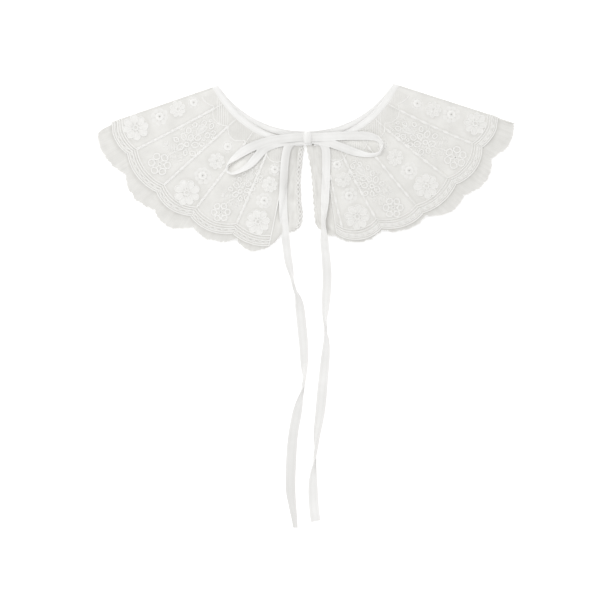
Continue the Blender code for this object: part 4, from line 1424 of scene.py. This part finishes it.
def picot_band():
    """The band itself, with a real opening in the middle of each picot."""
    radii, grid, gaps = every(EDGE_START, EDGE_END, EDGE_STEP), [], set()
    for radius in radii:
        row = []
        for j, shift in enumerate(spread(picot_outside(radius), picot_inside(radius), EDGE_PARTS)):
            ends = [edge_point(-1, radius, shift, lift) for lift in (BAND_LIFT, BAND_LIFT - BAND_THICK)]
            patchy = max(waver(radius / 1.9, j / 3.0, 2.0), 0.0)
            row.append((*ends, (shift, radius, BAND_CLOSE - 0.3 * dip(j, 2.0) - 0.5 * patchy)))
        grid.append(row)
    for i, radius in enumerate(radii[:-1]):
        along = (radius + EDGE_STEP / 2) % PICOT_PITCH - PICOT_PITCH / 2
        number = radius // PICOT_PITCH
        aside, size = 0.9 * sin(2.3 * number), PICOT_HOLE * (0.85 + 0.3 * sin(5.1 * number))
        for j in range(EDGE_PARTS):
            across = ((j + 0.5) / EDGE_PARTS - 0.5) * PICOT_WIDTH
            if hypot(along, across - aside) < size:
                gaps.add((i, j))
    work = Work()
    work.wall(grid, gaps)
    return work.piece("picot_band", organza_cloth, "organza")


def picot_threads():
    """Two cords along the band, and two threads that cross between the eyelets."""
    work, radii = Work(), every(EDGE_START, EDGE_END, EDGE_THREAD_STEP)
    edge_thread(work, -1, radii, picot_outside, EDGE_THREAD, lightness=0.3)
    edge_thread(work, -1, radii, picot_inside, EDGE_THREAD, lightness=0.85)
    for swing, lift in ((PICOT_SWING, 0.1), (-PICOT_SWING, 0.4)):
        path = []
        for radius in radii:
            shift = picot_inside(radius) - 0.5 * PICOT_WIDTH + swing * sin(pi * radius / PICOT_PITCH)
            path.append(edge_point(-1, radius, shift, BAND_LIFT + lift))
        work.tube(path, PICOT_THREAD)
    return work.piece("picot_threads", embroidery_thread, "organza")


def right_edge_threads():
    """A cord along the small waves, and a thinner one further in."""
    work, radii = Work(THREAD_TONE[1]), every(RIGHT_START, RIGHT_END, RIGHT_STEP)
    edge_thread(work, 1, radii, lambda radius: edge_shift(1, 0.0, radius) + 0.3, 0.4)
    inner = [radius for radius in radii if radius > INNER_START]
    edge_thread(work, 1, inner, inside_waves, 0.34, lightness=0.8)
    return work.piece("right_edge_threads", embroidery_thread, "organza")


edges = {-1: [picot_band(), picot_threads()], 1: [right_edge_threads()]}

# %% [markdown]
# ## Daisies and ring flowers
# A daisy is eight broad petals that touch, so it reads as a disc with dark slits. Each petal is a low satin
# pad with a cord round it. A ring flower is three cords round a small opening, with a soft disc of pads and
# faint stitches outside them. Each petal differs a little in length and lean, as machine embroidery does on
# soft net.

# %% Daisies and ring flowers
PETALS, PETAL_TURN, PETAL_LIFT = 8, 45.0, 0.16
DAISY_FILL, DISC_FILL = {-1: 0.83, 1: 0.78}, {-1: 0.80, 1: 0.82}
DAISY_START, DAISY_HALF, DAISY_RINGS = 0.24, 0.262, [(0.9, 0.45, 1.0), (1.8, 0.45, 1.2)]
DISC_START, DISC_HALF, DISC_HEIGHT = 3.0, 0.31, 0.17
DISC_RINGS = [(0.6, 0.62, 0.85), (1.7, 0.68, 1.1), (2.8, 0.62, 1.2)]
FAINT_STITCHES, FAINT_STITCH = [(-15, 0.9), (-5, 0.97), (5, 0.97), (15, 0.9)], 0.28


def petal_half(share, half_width):
    """Half width of a petal, widest at about two thirds of its length."""
    return half_width * sin(pi * share ** 1.6) ** 0.55


def petal(work, side, x, y, lean, length, half_width, thick, lightness=0.72, lift=0.0):
    """A low satin pad with a cord round its outline."""
    pad(work, side, x, y, lean, length * 0.98, half_width * 0.9, 0.3, steps=8, power=1.6, lightness=lightness)
    outline = [(share, petal_half(share, half_width)) for share in spread(0.03, 0.98, 9)] + [(1.0, 0.0)]
    outline += [(share, -wide) for share, wide in outline[-2::-1]]
    spots = [moved(x, y, lean, share * length, wide) for share, wide in outline]
    thread(work, side, spots, thick, flat=1.0, lift=lift)


def hub_rings(work, side, flower, hole, rings):
    for off, thick, lightness in rings:
        ring(work, side, flower.x, flower.y, hole + off, thick, lightness=lightness)


def daisy(work, side, flower, draw):
    twist, inner = draw.uniform(0, PETAL_TURN), flower.radius * DAISY_START
    for k in range(PETALS):
        lean = twist + PETAL_TURN * k + draw.uniform(-3, 3)
        outer = flower.radius * draw.uniform(0.98, 1.06)
        start = moved(flower.x, flower.y, lean, inner)
        half_width, thick = flower.radius * DAISY_HALF, 0.30 + 0.024 * flower.radius
        look = {"lightness": DAISY_FILL[side], "lift": PETAL_LIFT * (k % 2)}
        petal(work, side, *start, lean, outer - inner, half_width, thick, **look)
    hub_rings(work, side, flower, flower.radius * DAISY_HOLE, DAISY_RINGS)


def ring_flower(work, side, flower, draw):
    hole, fill_close = flower.radius * RING_HOLE, DISC_FILL[side]
    hub_rings(work, side, flower, hole, DISC_RINGS)
    twist, inner = draw.uniform(0, PETAL_TURN), hole + DISC_START
    for k in range(PETALS):
        lean, outer = twist + PETAL_TURN * k, flower.radius * draw.uniform(0.97, 1.1)
        start, half_width = moved(flower.x, flower.y, lean, inner), flower.radius * DISC_HALF
        pad(work, side, *start, lean, outer - inner, half_width, DISC_HEIGHT, power=1.4, lightness=fill_close)
        for off, share in FAINT_STITCHES:
            spots = [moved(flower.x, flower.y, lean + off, r) for r in spread(inner, outer * share, 2)]
            thread(work, side, spots, FAINT_STITCH, lightness=fill_close)


def flowers(work, side):
    draw = Random(5 + side)
    for flower in FLOWERS[side]:
        make = daisy if flower.kind == "daisy" else ring_flower
        make(work, side, flower, draw)


embroider("flowers", flowers)

# %% Sprays
class Chart:
    """Lays the rings, pads and threads of one spray at the places of its chart."""

    def __init__(self, work, side, spray):
        self.work, self.side, self.spray, self.size = work, side, spray, spray.size

    def at(self, place):
        return spray_place(self.side, self.spray, *place)

    def lean(self, turn):
        return spray_lean(self.side, self.spray, turn)

    def ring(self, place, radius, thick, **shape):
        ring(self.work, self.side, *self.at(place), radius * self.size, thick, **shape)

    def pad(self, place, turn, length, half_width, height, **shape):
        lean, length = self.lean(turn), length * self.size
        pad(self.work, self.side, *self.at(place), lean, length, half_width, height, **shape)

    def thread(self, places, thick, lift=0.0):
        thread(self.work, self.side, [self.at(place) for place in places], thick, lift=lift)


def six_loops(chart):
    """The flower of six loops round a small ring, with a pad in the foot of each loop."""
    chart.ring((0, 0), 1.5, 0.65)
    for turn in SIX_TURNS:
        chart.ring(moved(0, 0, turn, SIX_REACH), 3.3, 0.82, squash=0.9, lean=chart.lean(turn))
        chart.pad(moved(0, 0, turn, 2.4), turn, 2.8, 0.8, 0.5, lightness=1.0)


def comb(chart, forward, sideways, turn, count, pitch, length):
    """A row of stripes side by side, a little shorter towards both ends of the row."""
    for k in range(count):
        off = (k - (count - 1) / 2) * pitch
        reach = length / 2 * (1 - 0.12 * abs(off) / pitch)
        start = moved(forward, sideways, turn, -reach, off)
        chart.pad(start, turn, 2 * reach, 0.55, 0.6, lightness=1.0, **BAR)


def ring_and_loops(chart, draw):
    """The spray's ring flower, and the small loops around it, each with a bar inside."""
    chart.ring(SPRAY_RING, 2.1, 0.85)
    for turn in range(0, 360, 45):
        chart.pad(moved(*SPRAY_RING, turn, 3.2), turn, 3.2, 1.1, 0.35)
    for forward, sideways, radius in SPRAY_LOOPS:
        out = lean_between(SPRAY_RING, (forward, sideways))
        lean, squash = chart.lean(out + 90.0 + draw.uniform(-25, 25)), draw.uniform(0.68, 0.92)
        chart.ring((forward, sideways), 1.12 * radius, 0.7, squash=squash, lean=lean)
        chart.pad(moved(forward, sideways, out, -0.5 * radius), out, radius, 0.5, 0.5, lightness=0.95, **BAR)
    for forward, sideways, radius in SPRAY_SMALL_RINGS:
        chart.ring((forward, sideways), radius + 0.5, 0.6)


def seeds(chart, draw):
    """Short stitches strewn between the other parts, in two directions."""
    taken = SPRAY_LOOPS + [(*SPRAY_RING, 6.2), (0.0, 0.0, 11.5)]
    for _ in range(SEEDS):
        off = draw.uniform(-1, 1), draw.uniform(-1, 1)
        place = [SEED_MIDDLE[k] + SEED_REACH[k] * off[k] for k in (0, 1)]
        turn, reach = draw.choice((51, -39)) + draw.uniform(-20, 20), draw.uniform(0.7, 1.2)
        clear = all(dist(place, (x, y)) > radius + SEED_CLEAR for x, y, radius in taken)
        if hypot(*off) < 1 and clear:
            chart.thread([moved(*place, turn, k * reach) for k in (-1, 0, 1)], 0.46)


def leaf(chart):
    """A leaf with a middle vein and slanting stitches on both sides of it."""
    def at(along, across=0.0):
        return moved(*SPRAY_LEAF, LEAF_LEAN, along, across)

    length, half_width = LEAF_LENGTH * chart.size, LEAF_HALF * chart.size
    base = chart.at(at(-LEAF_LENGTH / 2))
    petal(chart.work, chart.side, *base, chart.lean(LEAF_LEAN), length, half_width, 0.45)
    chart.thread([at((share - 0.5) * LEAF_LENGTH) for share in (0.1, 0.4, 0.7, 0.9)], 0.4)
    for r in range(2, 9):
        root, reach = (r / 10 - 0.5) * LEAF_LENGTH, LEAF_HALF * 0.95 * sin(pi * r / 10)
        for aside in (-reach, reach):
            chart.thread([at(root + 1.2 * share, aside * share) for share in (0, 0.5, 1)], 0.5, lift=0.25)


def sprays(work, side):
    draw = Random(71 + side)
    for spray in SPRAYS[side]:
        chart = Chart(work, side, spray)
        six_loops(chart)
        for row in SPRAY_COMBS:
            comb(chart, *row)
        ring_and_loops(chart, draw)
        for turn in FAN_TURNS:
            chart.pad(moved(*SPRAY_FAN, turn, 1.0), turn, 4.4, 0.6, 0.6, lightness=1.0, **BAR)
        seeds(chart, draw)
        leaf(chart)
        for start, level, swing, pitch, count in SPRAY_STEMS:
            chart.thread([(start + 1.5 * i, level + swing * sin(i * pitch)) for i in range(count)], 0.45)


embroider("sprays", sprays)

# %% [markdown]
# ## Neck binding
# One satin strip is folded over the neck edge. Its two long edges are folds, so its section is a flat oval,
# and it is a little puffed between them. It runs from one front end, round both shoulders and the back, to
# the other front end.

# %% Neck binding
BINDING_END, BINDING_ROUND = {-1: 2.2, 1: 5.6}, 8
BINDING_STEPS, BINDING_PARTS, BINDING_HALF, BINDING_CLOSE = 90, 10, 1.12, 0.96
BAND = {s: Layer(s, [Gore(0, 0, 0, 0)], (UNDER_TURN + LACE_TURN) / 2, 0) for s in SIDES}


def binding_lines(side):
    """Lines of the binding from the front end, round the shoulder, to the centre back."""
    fold = SHOULDER[side] - FOLD_MARGIN
    front = [straight(angle, FRONT) for angle in spread(BINDING_END[side], fold, BINDING_STEPS)]
    back = [straight(angle, BACK) for angle in spread(fold, 0, BINDING_STEPS)]
    return front + BAND[side].fold_lines() + back


def neck_tape():
    grid, along, last = [], 0.0, None
    lines = [(-1, line) for line in binding_lines(-1)] + [(1, line) for line in binding_lines(1)[-2::-1]]
    for side, line in lines:
        neck, row = neckline(side, line.bend, line.neck_angle), []
        middle = BAND[side].place(line, neck + BINDING_WIDTH / 2, BINDING_HALF)
        before = along
        along += (middle - last).length if last else 0.0
        last = middle
        # Painted shade along the binding's folded edge at the neck, stronger towards the front, and a faint
        # darker line on its outer half.
        edge_shade_strength = 1 - 0.6 * smooth((line.neck_angle - 33.0) / 6.0)
        for part in spread(-1, 1, BINDING_PARTS):
            radius = neck + BINDING_WIDTH * (part + 1) / 2
            off = BINDING_HALF * max(1 - part ** BINDING_ROUND, 0.0) ** 0.5 * (0.96 + 0.04 * cos(5 * part))
            edge_shade_and_line = 0.35 * edge_shade_strength * dip(part + 0.8, 0.25) + 0.15 * dip(part - 0.45, 0.15)
            points = [BAND[side].place(line, radius, way * off) for way in (1, -1)]
            # The half towards the neck counts its weave one step behind the other half.
            count = before if part < 0 else along
            row.append((*points, (count, radius - neck, BINDING_CLOSE - edge_shade_and_line)))
        grid.append(row)
    work = Work()
    work.wall(grid)
    work.piece("neck_tape", ribbon_cloth, "ribbon", "neck_binding")
    print("binding runs", round(along), "mm round the neck")


neck_tape()

# %% Stitches that hold the binding
STITCH_FIRST, STITCH_INSET, STITCH_SUNK = 14.0, 1.2, 0.08
STITCH_LENGTH, STITCH_PITCH, STITCH_THICK = 2.0, 3.2, 0.32


def binding_stitches():
    """Short stitches in a row near the binding's free edge, on both fronts."""
    work = Work()
    for side in SIDES:
        angle = STITCH_FIRST
        while angle < SHOULDER[side] - FOLD_MARGIN:
            radius = neckline(side, FRONT, angle) + BINDING_WIDTH - STITCH_INSET
            ends = spread(angle, angle + degrees(STITCH_LENGTH / radius), 2)
            top = 0.98 * BINDING_HALF - STITCH_SUNK
            path = [BAND[side].place(straight(end, FRONT), radius, top) for end in ends]
            work.tube(path, STITCH_THICK, flat=0.7, taper=0.6)
            angle += degrees(STITCH_PITCH / radius)
    work.piece("binding_stitches", embroidery_thread, "ribbon")


binding_stitches()

# %% [markdown]
# ## Bow loops and knot
# The loops are the same ribbon as the tails. The knot is a short wrap of ribbon over them, pulled tight, so
# it has creases from top to bottom and bulges between them.

# %% Bow loops
for word, seed in (("left", 3.5), ("right", 9.5)):
    ribbon(f"loop_{word}", f"bow_loop_{word}", seed)

# %% Knot
KNOT_CENTRE, KNOT_HALF, KNOT_STEPS, KNOT_PARTS = Vector((2.2, 30.6, 7.1)), (4.7, 6.2, 4.0), 30, 48
KNOT_SQUARE, KNOT_SWELL = (0.85, 0.7, 0.6), 0.88
WRAP_PLACE, WRAP_WIDTH, WRAP_RISE, WRAP_REACH = -0.4, 0.3, 0.05, 0.06


def squared(value, power):
    """A sine or cosine that stays near its ends for longer, so that a round section looks squarer."""
    return abs(value) ** power * (1 if value > 0 else -1)


def knot():
    """A gathered knot with shallow creases, and the narrow turn of ribbon that wraps it."""
    work, rows, marks = Work(), [], []
    for i in range(1, KNOT_STEPS):
        y, belt = cos(pi * i / KNOT_STEPS), sin(pi * i / KNOT_STEPS) ** KNOT_SQUARE[2]
        row, row_marks = [], []
        for j in range(KNOT_PARTS):
            turn = 2 * pi * j / KNOT_PARTS
            x, z = squared(cos(turn), KNOT_SQUARE[0]) * belt, squared(sin(turn), KNOT_SQUARE[1]) * belt
            wrap = dip(x - WRAP_PLACE - 0.08 * y, WRAP_WIDTH)
            crease = 0.03 * sin(7.0 * x + 2.2 * y) + 0.025 * sin(13.0 * x - 3.0 * y)
            sizes = 1.0, 1 + WRAP_REACH * wrap, KNOT_SWELL + crease * (1 - wrap) + WRAP_RISE * wrap
            place = [n * half * size for n, half, size in zip((x, y, z), KNOT_HALF, sizes)]
            row.append(KNOT_CENTRE + Vector(place))
            # The wrap is painted lighter than the rest of the knot: a painted highlight on its ridge.
            row_marks.append((y * KNOT_HALF[1], turn * 5.0, 0.8 + 0.2 * wrap))
        rows.append(row)
        marks.append(row_marks)
    work.skin(work.rows(rows, marks))
    work.piece("ribbon_knot", ribbon_cloth, "ribbon", "tie_knot")


knot()

# %% [markdown]
# ## Area of each sheet
# The area of each side's net and organza is printed: half the surface of its thin wall, which is about the
# area of the sheet before it was folded.

def sheet_area(piece):
    return sum(polygon.area for polygon in piece.data.polygons) / 2


for side, word in SIDES.items():
    areas = [round(sheet_area(piece), 4) for piece in (nets[side], organzas[side])]
    print(word, "net and organza:", *areas, "m2")
